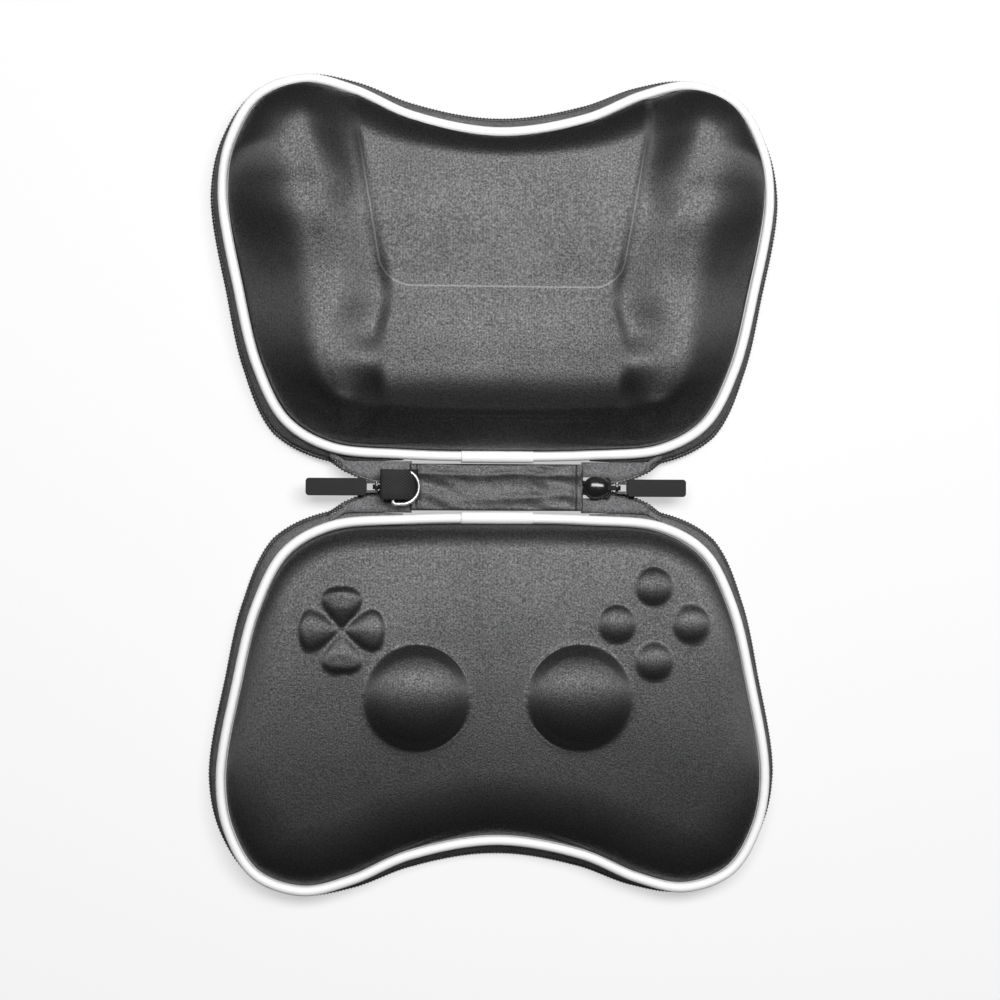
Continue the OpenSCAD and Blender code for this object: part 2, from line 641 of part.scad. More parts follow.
back_shell();
back_piping();
back_piping_sleeve();
back_zipper_tape();
back_zipper_coil();
back_seam_binding();
front_shell();
front_piping();
front_piping_sleeve();
front_zipper_tape();
front_zipper_coil();
front_seam_binding();
hinge_band();
left_chain_end();
right_chain_end();
left_tape_end();
right_tape_end();
left_slider_body();
right_slider_body();
left_slider_cap();
right_slider_cap();
color("#1a1a1a") d_ring_strap();
d_ring();
left_pull_link();
left_pull_grip();
right_pull_link();
right_pull_grip();
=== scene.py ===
import bmesh
import bpy
import math
import numpy as np
from functools import partial
from mathutils import Matrix, Vector


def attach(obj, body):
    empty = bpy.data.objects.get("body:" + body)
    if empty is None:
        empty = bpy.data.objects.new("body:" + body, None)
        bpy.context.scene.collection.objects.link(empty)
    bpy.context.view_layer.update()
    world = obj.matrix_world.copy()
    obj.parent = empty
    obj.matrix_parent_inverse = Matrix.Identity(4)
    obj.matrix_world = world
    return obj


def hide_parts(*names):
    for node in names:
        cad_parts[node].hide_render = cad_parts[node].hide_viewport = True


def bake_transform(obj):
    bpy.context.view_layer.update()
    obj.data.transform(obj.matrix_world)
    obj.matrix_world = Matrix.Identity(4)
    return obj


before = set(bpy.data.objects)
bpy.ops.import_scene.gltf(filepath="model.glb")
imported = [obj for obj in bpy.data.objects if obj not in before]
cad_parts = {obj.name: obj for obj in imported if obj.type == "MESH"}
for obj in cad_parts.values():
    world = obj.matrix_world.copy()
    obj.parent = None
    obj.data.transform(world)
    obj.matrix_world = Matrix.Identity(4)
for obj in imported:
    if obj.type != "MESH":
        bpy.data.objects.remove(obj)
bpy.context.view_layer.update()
mm = 0.001


# Small helpers for nodes and objects

def feed(tree, socket, value):
    # links a socket to another one, or sets it
    if hasattr(value, "is_output"):
        tree.links.new(value, socket)
    else:
        socket.default_value = value


def feedAll(tree, node, **inputs):
    for label, value in inputs.items():
        feed(tree, node.inputs[label.replace("_", " ")], value)


def addNode(tree, kind, settings=None, **inputs):
    node = tree.nodes.new(kind)
    for label, value in (settings or {}).items():
        setattr(node, label, value)
    feedAll(tree, node, **inputs)
    return node


def mathNode(tree, kind, *values):
    node = addNode(tree, "ShaderNodeMath", {"operation": kind})
    for place, value in enumerate(values):
        feed(tree, node.inputs[place], value)
    return node.outputs[0]


def blendNode(tree, factor, first, second):
    node = addNode(tree, "ShaderNodeMix", {"data_type": "RGBA"})
    for place, value in ((0, factor), (6, first), (7, second)):
        feed(tree, node.inputs[place], (*value, 1) if isinstance(value, tuple) else value)
    return node.outputs[2]


def addObject(name, data):
    thing = bpy.data.objects.new(name, data)
    bpy.context.collection.objects.link(thing)
    return thing


# Camera and lamps

cameraView = {"place": (-0.045, 0.0072, 0.65), "aim": (0.0011, -0.0042, 0.008), "fieldMm": 333.3,
              "up": (-0.0059, 1.0, 0.0), "sensor": 36.0}
studio = {"stripSize": (1.0, 0.34), "stripHeight": 0.95, "stripShift": (0.09, 0.335), "stripPower": 14.2,
          "fillSize": 2.6, "fillHeight": 1.7, "fillPower": 0.3, "horizon": 0.01, "backdrop": 0.94}


def aimAt(thing, target, up=(0, 1, 0)):
    back = (thing.location - Vector(target)).normalized()
    right = Vector(up).cross(back).normalized()
    thing.rotation_mode = "QUATERNION"
    thing.rotation_quaternion = Matrix((right, back.cross(right), back)).transposed().to_quaternion()


def makeCamera():
    data = bpy.data.cameras.new("camera")
    camera = addObject("camera", data)
    camera.location = cameraView["place"]
    aimAt(camera, cameraView["aim"], cameraView["up"])
    far = (Vector(cameraView["aim"]) - camera.location).length
    data.sensor_width = cameraView["sensor"]
    data.lens = cameraView["sensor"] * far / (cameraView["fieldMm"] * mm)
    bpy.context.scene.camera = camera


def makeLamp(name, size, place, power):
    data = bpy.data.lights.new(name, "AREA")
    data.shape = "RECTANGLE"
    data.size, data.size_y = size
    data.energy = power
    lamp = addObject(name, data)
    lamp.location = place
    aimAt(lamp, (0, 0, 0))


def makeStudio():
    makeLamp("stripLamp", studio["stripSize"], (*studio["stripShift"], studio["stripHeight"]), studio["stripPower"])
    makeLamp("fillLamp", (studio["fillSize"],) * 2, (0, 0, studio["fillHeight"]), studio["fillPower"])
    # the world is pale for the camera and nearly dark for everything else
    world = bpy.data.worlds.new("studioWorld")
    world.use_nodes = True
    tree = world.node_tree
    seen = tree.nodes.new("ShaderNodeLightPath").outputs["Is Camera Ray"]
    strength = mathNode(tree, "MULTIPLY_ADD", seen, studio["backdrop"], studio["horizon"])
    feedAll(tree, tree.nodes["Background"], Color=(1, 1, 1, 1), Strength=strength)
    bpy.context.scene.world = world
    bpy.context.scene.view_settings.view_transform = "Standard"


makeCamera()
makeStudio()
print("camera and lamps are set")


# Small helpers for meshes

def newObject(name, points, faces, material=None, smooth=True):
    mesh = bpy.data.meshes.new(name)
    mesh.from_pydata([tuple(p) for p in points], [], [tuple(f) for f in faces])
    mesh.validate()
    mesh.update()
    if material is not None:
        for one in material if isinstance(material, list) else [material]:
            mesh.materials.append(one)
    if smooth:
        mesh.polygons.foreach_set("use_smooth", [True] * len(mesh.polygons))
    return addObject(name, mesh)


def ringFaces(rings, count, closedPath=False, flip=False):
    faces = []
    for r in range(rings if closedPath else rings - 1):
        a, b = r * count, ((r + 1) % rings) * count
        for j in range(count):
            k = (j + 1) % count
            face = (a + j, a + k, b + k, b + j)
            faces.append(face[::-1] if flip else face)
    return faces


def capFaces(ring, count, peak, flip=False):
    # closes a ring of points to one point
    faces = [(ring + j, ring + (j + 1) % count, peak) for j in range(count)]
    return [face[::-1] for face in faces] if flip else faces


def sweep(sections):
    rings, count = len(sections), len(sections[0])
    faces = ringFaces(rings, count)
    faces += [tuple(range(count))[::-1], tuple(range((rings - 1) * count, rings * count))]
    return [p for one in sections for p in one], faces


def fixNormals(mesh):
    work = bmesh.new()
    work.from_mesh(mesh)
    bmesh.ops.recalc_face_normals(work, faces=work.faces)
    work.to_mesh(mesh)
    work.free()


def cornerUv(piece, label, uv):
    # gives each point's own UV to the face corners that use it
    layer = piece.data.uv_layers.new(name=label)
    loops = np.empty(len(piece.data.loops), int)
    piece.data.loops.foreach_get("vertex_index", loops)
    layer.data.foreach_set("uv", np.asarray(uv, np.float32)[loops].ravel())


def flatten(piece):
    # the shape after its modifiers, as a plain mesh
    view = bpy.context.evaluated_depsgraph_get()
    mesh = bpy.data.meshes.new_from_object(piece.evaluated_get(view), preserve_all_data_layers=True, depsgraph=view)
    piece.modifiers.clear()
    piece.data = mesh
    return piece


def put(piece, body, slot, *nodes):
    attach(piece, body)
    if nodes:
        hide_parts(*nodes)
    return piece


def clothPiece(name, points, faces, uv, material):
    # a sewn piece with its faces outwards and its threads along the UV
    piece = newObject(name, points, faces, material)
    fixNormals(piece.data)
    cornerUv(piece, "threads", uv)
    return piece


# Shader node groups shared by several finishes

halfTurn, fullTurn = 3.14159, 6.2832
knitLook = {"grainScale": 0.75, "grainSpread": (0.32, 0.68), "cloudScale": 0.02, "cloudShare": 0.35, "wobble": 0.8,
            "roughDrop": 0.2, "glintShare": 0.9, "glintDark": (0.12, 0.12, 0.125)}
weaveLook = {"noiseScale": 900.0, "noiseShare": 0.5, "threadShare": 0.6, "roughDrop": 0.35, "noiseHeight": 0.3}
grainLook = {"marksScale": 260.0}


def newGroup(name, values, outputs):
    # an input for each value, colours being tuples, and outputs by name
    group = bpy.data.node_groups.new(name, "ShaderNodeTree")
    for label, value in values.items():
        isColour = isinstance(value, tuple)
        kind = "NodeSocketColor" if isColour else "NodeSocketFloat"
        made = group.interface.new_socket(label, in_out="INPUT", socket_type=kind)
        made.default_value = (*value, 1) if isColour else value
    for label in outputs:
        kind = "NodeSocketColor" if label in ("Color", "Glint") else "NodeSocketFloat"
        group.interface.new_socket(label, in_out="OUTPUT", socket_type=kind)
    return group, group.nodes.new("NodeGroupInput").outputs, group.nodes.new("NodeGroupOutput")


def knitGroup():
    # brushed knit: vertical wales, a fine speckle and soft cloudy changes of tone
    look = knitLook
    values = {"Dark": (0.01, 0.01, 0.01), "Light": (0.03, 0.03, 0.03), "Pitch": 0.0006, "Speckle": 0.5, "Wale": 0.3}
    group, given, end = newGroup("brushedKnit", values, ("Color", "Roughness", "Height", "Glint"))
    calc = partial(mathNode, group)
    place = group.nodes.new("ShaderNodeTexCoord").outputs["Object"]
    scaled = addNode(group, "ShaderNodeVectorMath", {"operation": "SCALE"}, Vector=place,
                     Scale=calc("DIVIDE", 1.0, given["Pitch"])).outputs[0]
    fine = addNode(group, "ShaderNodeTexNoise", Vector=scaled, Scale=look["grainScale"], Detail=3.0, Roughness=0.7)
    cloud = addNode(group, "ShaderNodeTexNoise", Vector=scaled, Scale=look["cloudScale"], Detail=2.0)
    axes = addNode(group, "ShaderNodeSeparateXYZ", Vector=scaled)
    wobble = calc("MULTIPLY_ADD", fine.outputs["Fac"], look["wobble"], axes.outputs["X"])
    wave = calc("MULTIPLY_ADD", calc("SINE", calc("MULTIPLY", wobble, fullTurn)), 0.5, 0.5)
    low, high = look["grainSpread"]
    spread = addNode(group, "ShaderNodeMapRange", Value=fine.outputs["Fac"], From_Min=low, From_Max=high)
    speck = calc("MULTIPLY", spread.outputs["Result"], given["Speckle"])
    height = calc("ADD", speck, calc("MULTIPLY", wave, given["Wale"]))
    tone = calc("ADD", height, calc("MULTIPLY", cloud.outputs["Fac"], look["cloudShare"]))
    feedAll(group, end, Color=blendNode(group, tone, given["Dark"], given["Light"]), Height=height,
            Roughness=calc("SUBTRACT", 1.0, calc("MULTIPLY", tone, look["roughDrop"])),
            Glint=blendNode(group, calc("MULTIPLY", tone, look["glintShare"]), look["glintDark"], (1, 1, 1)))
    return group


def weaveGroup():
    # plain weave along the piece's own UV: threads over and under, with a little noise
    look = weaveLook
    values = {"Dark": (0.01, 0.01, 0.01), "Light": (0.05, 0.05, 0.05), "Threads U": 1500.0, "Threads V": 1500.0,
              "Own UV": 1.0}
    group, given, end = newGroup("plainWeave", values, ("Color", "Roughness", "Height"))
    calc = partial(mathNode, group)
    place = group.nodes.new("ShaderNodeTexCoord").outputs
    chosen = addNode(group, "ShaderNodeMix", {"data_type": "VECTOR"})
    for socket, value in ((0, given["Own UV"]), (4, place["Object"]), (5, place["UV"])):
        feed(group, chosen.inputs[socket], value)
    axes = addNode(group, "ShaderNodeSeparateXYZ", Vector=chosen.outputs[1])
    threads = [calc("SINE", calc("MULTIPLY", calc("MULTIPLY", axes.outputs[axis], given[label]), halfTurn))
               for axis, label in (("X", "Threads U"), ("Y", "Threads V"))]
    over = calc("MULTIPLY_ADD", calc("MULTIPLY", *threads), 0.5, 0.5)
    speckle = addNode(group, "ShaderNodeTexNoise", Vector=place["Object"], Scale=look["noiseScale"], Detail=2.0)
    noise = speckle.outputs["Fac"]
    tone = calc("MULTIPLY_ADD", noise, look["noiseShare"], calc("MULTIPLY", over, look["threadShare"]))
    feedAll(group, end, Color=blendNode(group, tone, given["Dark"], given["Light"]),
            Roughness=calc("SUBTRACT", 1.0, calc("MULTIPLY", over, look["roughDrop"])),
            Height=calc("MULTIPLY_ADD", noise, look["noiseHeight"], over))
    return group


def grainGroup():
    # fine moulded grain with handling marks
    values = {"Base": (0.02, 0.02, 0.02), "Worn": (0.05, 0.05, 0.05), "Size": 0.0004, "Smooth": 0.3, "Rough": 0.5}
    group, given, end = newGroup("fineGrain", values, ("Color", "Roughness", "Height"))
    calc = partial(mathNode, group)
    place = group.nodes.new("ShaderNodeTexCoord").outputs["Object"]
    fine = addNode(group, "ShaderNodeTexNoise", Vector=place, Scale=calc("DIVIDE", 1.0, given["Size"]), Detail=3.0)
    marks = addNode(group, "ShaderNodeTexNoise", Vector=place, Scale=grainLook["marksScale"], Detail=4.0)
    rough = addNode(group, "ShaderNodeMapRange", Value=marks.outputs["Fac"], To_Min=given["Smooth"],
                    To_Max=given["Rough"])
    worn = calc("MULTIPLY", fine.outputs["Fac"], marks.outputs["Fac"])
    feedAll(group, end, Color=blendNode(group, worn, given["Base"], given["Worn"]), Roughness=rough.outputs["Result"],
            Height=fine.outputs["Fac"])
    return group


knit, weave, grain = knitGroup(), weaveGroup(), grainGroup()


# Finishes

def finish(name, group, values, bump, **constants):
    material = bpy.data.materials.new(name)
    material.use_nodes = True
    tree = material.node_tree
    shader = tree.nodes["Principled BSDF"]
    source = addNode(tree, "ShaderNodeGroup", {"node_tree": group})
    for label, value in values.items():
        source.inputs[label].default_value = (*value, 1) if isinstance(value, tuple) else value
    relief = addNode(tree, "ShaderNodeBump", Distance=bump, Strength=1.0, Height=source.outputs["Height"])
    feedAll(tree, shader, Base_Color=source.outputs["Color"], Roughness=source.outputs["Roughness"],
            Normal=relief.outputs["Normal"], **constants)
    if "Glint" in source.outputs:
        feedAll(tree, shader, Specular_Tint=source.outputs["Glint"])
    return material


def soften(material, share):
    # scales the roughness that reaches the shader
    tree = material.node_tree
    socket = tree.nodes["Principled BSDF"].inputs["Roughness"]
    feed(tree, socket, mathNode(tree, "MULTIPLY", socket.links[0].from_socket, share))


# the painted highlight round the back panel: its place, sharpness, fade and how much lighter it is
panelHighlightLook = {"nearY": 0.0648, "corner": 0.009, "halfAtHinge": 0.029, "hingeY": 0.01025, "spread": 0.17,
            "sharpness": 2400.0, "fadeSlope": -50.0, "fadeStart": 6.1, "tone": 0.035, "tint": 0.5, "bright": 1.6}


def paintPanelHighlight(material):
    # painted highlight: a lighter line round the bare panel, standing in for light on the panel's edge
    look, tree = panelHighlightLook, material.node_tree
    calc = partial(mathNode, tree)
    shader = tree.nodes["Principled BSDF"]
    place = tree.nodes.new("ShaderNodeTexCoord").outputs["Object"]
    axes = addNode(tree, "ShaderNodeSeparateXYZ", Vector=place).outputs
    edge = calc("MULTIPLY_ADD", calc("SUBTRACT", axes["Y"], look["hingeY"]), look["spread"],
                look["halfAtHinge"] - look["corner"])
    dx = calc("SUBTRACT", calc("ABSOLUTE", axes["X"]), edge)
    dy = calc("SUBTRACT", look["nearY"] + look["corner"], axes["Y"])
    squares = [calc("POWER", calc("MAXIMUM", d, 0.0), 2.0) for d in (dx, dy)]
    outside = calc("SQRT", calc("ADD", *squares))
    inside = calc("MINIMUM", calc("MAXIMUM", dx, dy), 0.0)
    line = calc("ABSOLUTE", calc("SUBTRACT", calc("ADD", outside, inside), look["corner"]))
    highlightMask = calc("SUBTRACT", 1.0, calc("MINIMUM", calc("MULTIPLY", line, look["sharpness"]), 1.0))
    # the painted highlight fades towards the grips, where only the step of the form shows
    fade = calc("MULTIPLY_ADD", axes["Y"], look["fadeSlope"], look["fadeStart"])
    highlightMask = calc("MULTIPLY", highlightMask, calc("MINIMUM", calc("MAXIMUM", fade, 0.0), 1.0))
    # painted highlight: lightens the base colour and raises the specular tint along the line
    for label, amount in (("Base Color", look["tone"]), ("Specular Tint", look["tint"])):
        socket = shader.inputs[label]
        before = socket.links[0].from_socket
        feed(tree, socket, blendNode(tree, calc("MULTIPLY", highlightMask, amount), before, (look["bright"],) * 3))


shellCloth = finish("mouldedKnit", knit, {"Dark": (0.004, 0.004, 0.0042), "Light": (0.010, 0.010, 0.011),
                    "Pitch": 0.0005, "Speckle": 0.78, "Wale": 0.22}, 0.00006, IOR=1.9, Specular_IOR_Level=1.0,
                    Anisotropic=0.65, Anisotropic_Rotation=0.25)
soften(shellCloth, 0.76)
wales = addNode(shellCloth.node_tree, "ShaderNodeTangent", {"direction_type": "UV_MAP", "uv_map": "wales"})
feedAll(shellCloth.node_tree, shellCloth.node_tree.nodes["Principled BSDF"], Tangent=wales.outputs[0])
# the back half's copy of the knit carries the painted highlight round its panel
backCloth = shellCloth.copy()
backCloth.name = "mouldedKnitBack"
paintPanelHighlight(backCloth)
liningCloth = finish("liningKnit", knit, {"Dark": (0.014, 0.014, 0.015), "Light": (0.06, 0.06, 0.062), "Pitch": 0.0008,
                     "Speckle": 0.6, "Wale": 0.2}, 0.0002)
pipingSkin = finish("pipingVinyl", grain, {"Base": (0.88, 0.88, 0.88), "Worn": (0.96, 0.96, 0.96), "Size": 0.0009,
                    "Smooth": 0.35, "Rough": 0.5}, 0.00001, IOR=1.45)
tapeCloth = finish("zipperTape", knit, {"Dark": (0.008, 0.008, 0.0085), "Light": (0.24, 0.24, 0.245), "Pitch": 0.00035,
                   "Speckle": 0.9, "Wale": 0.0}, 0.00012, Specular_IOR_Level=0.3)
coilPlastic = finish("coilPlastic", grain, {"Base": (0.03, 0.03, 0.03), "Worn": (0.17, 0.17, 0.17), "Size": 0.0005,
                     "Smooth": 0.2, "Rough": 0.4}, 0.00002)
bandCloth = finish("bandLeather", knit, {"Dark": (0.008, 0.008, 0.0085), "Light": (0.04, 0.04, 0.042), "Pitch": 0.0004,
                   "Speckle": 0.9, "Wale": 0.0}, 0.00009, IOR=1.7, Specular_IOR_Level=1.0)
soften(bandCloth, 0.55)
bindingCloth = finish("bindingTape", weave, {"Own UV": 0.0, "Dark": (0.01, 0.01, 0.01), "Light": (0.05, 0.05, 0.05),
                      "Threads U": 1200.0, "Threads V": 1200.0}, 0.00008)
webbingCloth = finish("webbing", weave, {"Dark": (0.003, 0.003, 0.003), "Light": (0.022, 0.022, 0.023),
                      "Threads U": 1500.0, "Threads V": 2100.0}, 0.00005)
sliderPaint = finish("sliderPaint", grain, {"Base": (0.008, 0.008, 0.008), "Worn": (0.02, 0.02, 0.02), "Size": 0.0006,
                     "Smooth": 0.12, "Rough": 0.25}, 0.000004, Specular_IOR_Level=0.7)
ringSteel = finish("ringSteel", grain, {"Base": (0.8, 0.8, 0.81), "Worn": (0.93, 0.93, 0.93), "Size": 0.0007,
                   "Smooth": 0.26, "Rough": 0.42}, 0.000003, Metallic=1.0)
linkMetal = finish("linkMetal", grain, {"Base": (0.05, 0.05, 0.05), "Worn": (0.3, 0.3, 0.3), "Size": 0.0006,
                   "Smooth": 0.15, "Rough": 0.3}, 0.000004, Metallic=0.6)
gripRubber = finish("gripRubber", grain, {"Base": (0.01, 0.01, 0.01), "Worn": (0.018, 0.018, 0.018), "Size": 0.0004,
                    "Smooth": 0.4, "Rough": 0.6}, 0.00001, Specular_IOR_Level=0.2)
print("finishes are made")


# The rim's line, as in the part's own source, in millimetres from the hinge line

rim = {"width": 182.0, "length": 124.0, "dip": 16.4, "tipX": 64.0, "widestY": 86.0, "shoulderX": 70.0,
       "shoulderY": 11.4, "zipStart": 31.0, "startGap": 1.0, "steps": 16, "hingeY": 10.25, "foldY": 7.85,
       "foldZ": 7.45, "pipingD": 3.2, "seat": 0.1, "pipingZ": 9.05, "shellZ": 7.15, "tapeOut": 1.1, "coil": 2.0}
halves = ((1, "back"), (-1, "front"))


def rimKeys():
    # x, y, the tape's reach and its drop, in the shares that the part's source has
    w, x0, y0 = rim["width"] / 2, rim["shoulderX"], rim["shoulderY"]
    sideX, sideY = w - x0, rim["widestY"] - y0
    tipDx, tipDy = w - rim["tipX"], rim["length"] - rim["widestY"]
    startY = 0.05 * y0
    startReach = rim["hingeY"] + startY - rim["tapeOut"] - rim["foldY"] - rim["startGap"]
    return [(0, 0, 0, 0), (rim["zipStart"], startY, startReach, 0), (0.79 * x0, 0.25 * y0, 2.3, 0.6), (x0, y0, 3.6, 1),
            (x0 + 0.45 * sideX, y0 + 0.238 * sideY, 2.6, 1), (x0 + 0.75 * sideX, y0 + 0.578 * sideY, 2.2, 1),
            (w, rim["widestY"], 2.2, 1), (w - 0.1 * tipDx, rim["widestY"] + 0.47 * tipDy, 1.6, 1),
            (w - 0.426 * tipDx, rim["widestY"] + 0.851 * tipDy, 0.8, 1), (rim["tipX"], rim["length"], 1, 1),
            (0.75 * rim["tipX"], rim["length"] - 0.207 * rim["dip"], 2, 1),
            (0.453 * rim["tipX"], rim["length"] - 0.7 * rim["dip"], 3, 1), (0, rim["length"] - rim["dip"], 3.4, 1)]


def splineSide(keys, steps):
    pts = [np.array(k[:2], float) for k in keys]
    flip = np.array([-1.0, 1.0])
    pts = [pts[1] * flip] + pts + [pts[-2] * flip]
    out = []
    for i in range(len(keys) - 1):
        p0, p1, p2, p3 = pts[i:i + 4]
        t1 = math.sqrt(np.linalg.norm(p1 - p0))
        t2 = t1 + math.sqrt(np.linalg.norm(p2 - p1))
        t3 = t2 + math.sqrt(np.linalg.norm(p3 - p2))
        for s in range(steps):
            t = t1 + (t2 - t1) * s / steps
            a1 = p0 * (t1 - t) / t1 + p1 * t / t1
            a2 = p1 * (t2 - t) / (t2 - t1) + p2 * (t - t1) / (t2 - t1)
            a3 = p2 * (t3 - t) / (t3 - t2) + p3 * (t - t2) / (t3 - t2)
            b1 = a1 * (t2 - t) / t2 + a2 * t / t2
            b2 = a2 * (t3 - t) / (t3 - t1) + a3 * (t - t1) / (t3 - t1)
            out.append(b1 * (t2 - t) / (t2 - t1) + b2 * (t - t1) / (t2 - t1))
    return out


keys = rimKeys()
sideLine = splineSide(keys, rim["steps"])
rimLine = np.array(sideLine + [np.array(keys[-1][:2], float)] + [p * [-1, 1] for p in sideLine[:0:-1]])
ringCount = len(rimLine)
sideCount = ringCount // 2
ahead, behind = np.roll(rimLine, -1, 0), np.roll(rimLine, 1, 0)
rimNormal = np.stack([(ahead - behind)[:, 1], -(ahead - behind)[:, 0]], 1)
rimNormal /= np.linalg.norm(rimNormal, axis=1)[:, None]
rimHalf = rimLine + [0, rim["hingeY"]]      # in the half's own plane


def keyValue(i, column):
    f = i if i <= sideCount else ringCount - i
    k = min(len(keys) - 2, f // rim["steps"])
    t = f / rim["steps"] - k
    return keys[k][column] * (1 - t) + keys[k + 1][column] * t


def halfPoints(side, xyz):
    xyz = np.asarray(xyz, float) * mm
    xyz[:, 1] *= side
    return xyz


# The moulded shells: v runs from the hinge line to the far edge, ax from the middle to the sides

backShape = {"rise": 25.0, "thick": 3.5, "faceWidth": 5.0, "falls": ((1.6, 34, 26), (0.5, 60, 50)), "hingeDrop": 4.4,
             "hingeEdge": 29, "hingeRun": 18, "hingePower": 1.5, "foldPull": 9, "foldX": 53, "foldWide": 7,
             "sideFall": (0.004, 0.026), "sideFallStart": 98, "sideFallRun": 14, "panelDepth": 0.08, "panelEdge": 1.6,
             "panelNear": 54.6, "panelCorner": 9.0, "panelFar": 119, "panelFade": 5.0, "creaseV": 12.3,
             "creaseRise": 0.6, "creaseWide": 0.8, "creaseHalf": 37, "creaseFade": 8}
frontShape = {"rise": 15.0, "thick": 3.5, "bend": 0.0013, "bendV": 64, "domeD": 34.8, "domeRise": 8.5, "domeLean": 0.09,
              "domeX": 26.7, "domeY": 68.7, "hemRise": 0.08, "hemOut": 0.5, "hemWide": 0.9, "buttonD": 12.7,
              "buttonLean": 0.05, "buttonRing": 12.3, "leafL": 12.9, "leafW": 11.4, "leafTip": 0.9, "bumpRise": 2.4,
              "groupX": 51.2, "crossY": 46.5, "buttonsY": 44.6}


def ramp(t):
    t = np.clip(t, 0, 1)
    return t * t * (3 - 2 * t)


def bell(t):
    return np.exp(-t * t)


def hermite(t, start, leave, end, arrive):
    # a smooth step from start to end, with the slopes leave and arrive
    return ((2 * t ** 3 - 3 * t ** 2 + 1) * start + (t ** 3 - 2 * t ** 2 + t) * leave
            + (3 * t ** 2 - 2 * t ** 3) * end + (t ** 3 - t ** 2) * arrive)


def along(table, v):
    # a smooth curve over v through a few rows of (v, value)
    xs, ys = (np.array(c, float) for c in zip(*table))
    slope = np.gradient(ys, xs)
    v = np.clip(v, xs[0], xs[-1])
    k = np.clip(np.searchsorted(xs, v, side="right") - 1, 0, len(xs) - 2)
    h = xs[k + 1] - xs[k]
    return hermite((v - xs[k]) / h, ys[k], h * slope[k], ys[k + 1], h * slope[k + 1])


backLines = {"trough": [(0, 43), (22, 41.5), (30, 42), (40, 41.5), (52, 39.5), (66, 42), (88, 47), (104, 50),
                        (126, 52)],
             "ridge": [(0, 55), (18, 53), (30, 56), (41, 57), (53, 54), (66, 55), (86, 60), (98, 62), (108, 64.5),
                       (126, 66)],
             "ridgeRise": [(0, 2.0), (14, 3.6), (22, 4.6), (30, 3.4), (40, 6.2), (52, 5.8), (62, 4.8), (76, 5.4),
                           (86, 6.0), (92, 8.2), (100, 11.0), (108, 13.2), (116, 13.4), (126, 11.0)],
             "valley": [(0, 2.5), (12, 4.6), (20, 4.8), (30, 1.2), (40, 4.0), (52, 3.8), (66, 2.2), (84, 1.8),
                        (92, 3.8), (100, 6.6), (108, 9.4), (116, 10.6), (126, 9.5)],
             "panel": [(50, 38), (56, 38.5), (65, 40.2), (88, 44.7), (112, 48), (126, 50)]}


def backTop(x, y):
    c, v, ax = backShape, y - rim["hingeY"], np.abs(x)
    trough, ridge, rise, valley, panelHalf = (along(backLines[word], v)
                                              for word in ("trough", "ridge", "ridgeRise", "valley", "panel"))
    floor = c["rise"]
    for drop, start, run in c["falls"]:
        floor = floor - drop * ramp((v - start) / run)
    hingeEdge = c["hingeEdge"] - c["foldPull"] * bell((ax - c["foldX"]) / c["foldWide"])
    floor = floor - c["hingeDrop"] * ramp((hingeEdge - v) / c["hingeRun"]) ** c["hingePower"]
    crease = bell((v - c["creaseV"]) / c["creaseWide"]) * ramp((c["creaseHalf"] - ax) / c["creaseFade"])
    face = ramp((ax - trough + c["faceWidth"]) / c["faceWidth"])
    swell = rise * ramp((ax - trough) / (ridge - trough))
    low, more = c["sideFall"]
    fall = (low + more * ramp((v - c["sideFallStart"]) / c["sideFallRun"])) * np.maximum(ax - ridge, 0) ** 2
    corner = c["panelCorner"]
    dx, dy = ax - (panelHalf - corner), (c["panelNear"] + corner) - v
    outBy = np.hypot(np.maximum(dx, 0), np.maximum(dy, 0)) + np.minimum(np.maximum(dx, dy), 0) - corner
    inPanel = ramp(-outBy / c["panelEdge"] + 0.5) * ramp((c["panelFar"] - v) / c["panelFade"])
    return floor + c["creaseRise"] * crease - valley * face + swell - fall - c["panelDepth"] * inPanel


def domeBump(dx, dy, radius, rise, lean):
    # a cap whose edge meets the face at a finite slope
    share = np.clip((dx * dx + dy * dy) / radius ** 2, 0, 1)
    cap = ((1.36 - share) ** 0.5 - 0.6) / (1.36 ** 0.5 - 0.6)
    return rise * cap - lean * dy * np.minimum(1, 3 * (1 - share))


def frontTop(x, y):
    c = frontShape
    out = c["rise"] - c["bend"] * (y - rim["hingeY"] - c["bendV"]) ** 2 + 0 * x
    for sx in (-1, 1):
        dx, dy = x - sx * c["domeX"], y - c["domeY"]
        r = c["domeD"] / 2
        hem = bell((np.hypot(dx, dy) - r - c["hemOut"]) / c["hemWide"])
        out = out + domeBump(dx, dy, r, c["domeRise"], c["domeLean"]) + c["hemRise"] * hem
    return out


def buttonTop(x, y):
    c = frontShape
    total, half = 0 * x, c["leafW"] / 2
    for turn in range(4):
        a = math.radians(90 * turn)
        dx = x - c["groupX"] - c["buttonRing"] * math.cos(a)
        dy = y - c["buttonsY"] - c["buttonRing"] * math.sin(a)
        total = np.maximum(total, domeBump(dx, dy, c["buttonD"] / 2, c["bumpRise"], c["buttonLean"]))
        # a leaf of the cross: round outside, narrowing to a soft point in the middle
        px, py = x + c["groupX"], y - c["crossY"]
        s, t = px * math.cos(a) + py * math.sin(a), -px * math.sin(a) + py * math.cos(a)
        share = np.clip((s - c["leafTip"]) / c["leafL"], 0, 1)
        breadth = half * 1.9 * share ** 0.85 * np.clip(1 - share ** 3.2, 0, 1) ** 0.5
        inside = np.clip(1 - (t / np.maximum(breadth, 1e-3)) ** 2, 0, 1)
        leaf = c["bumpRise"] * inside ** 0.6 * np.clip(breadth / half, 0, 1) ** 0.9
        total = np.maximum(total, np.where((share > 0) & (share < 1), leaf - c["buttonLean"] * py * inside, 0))
    return total


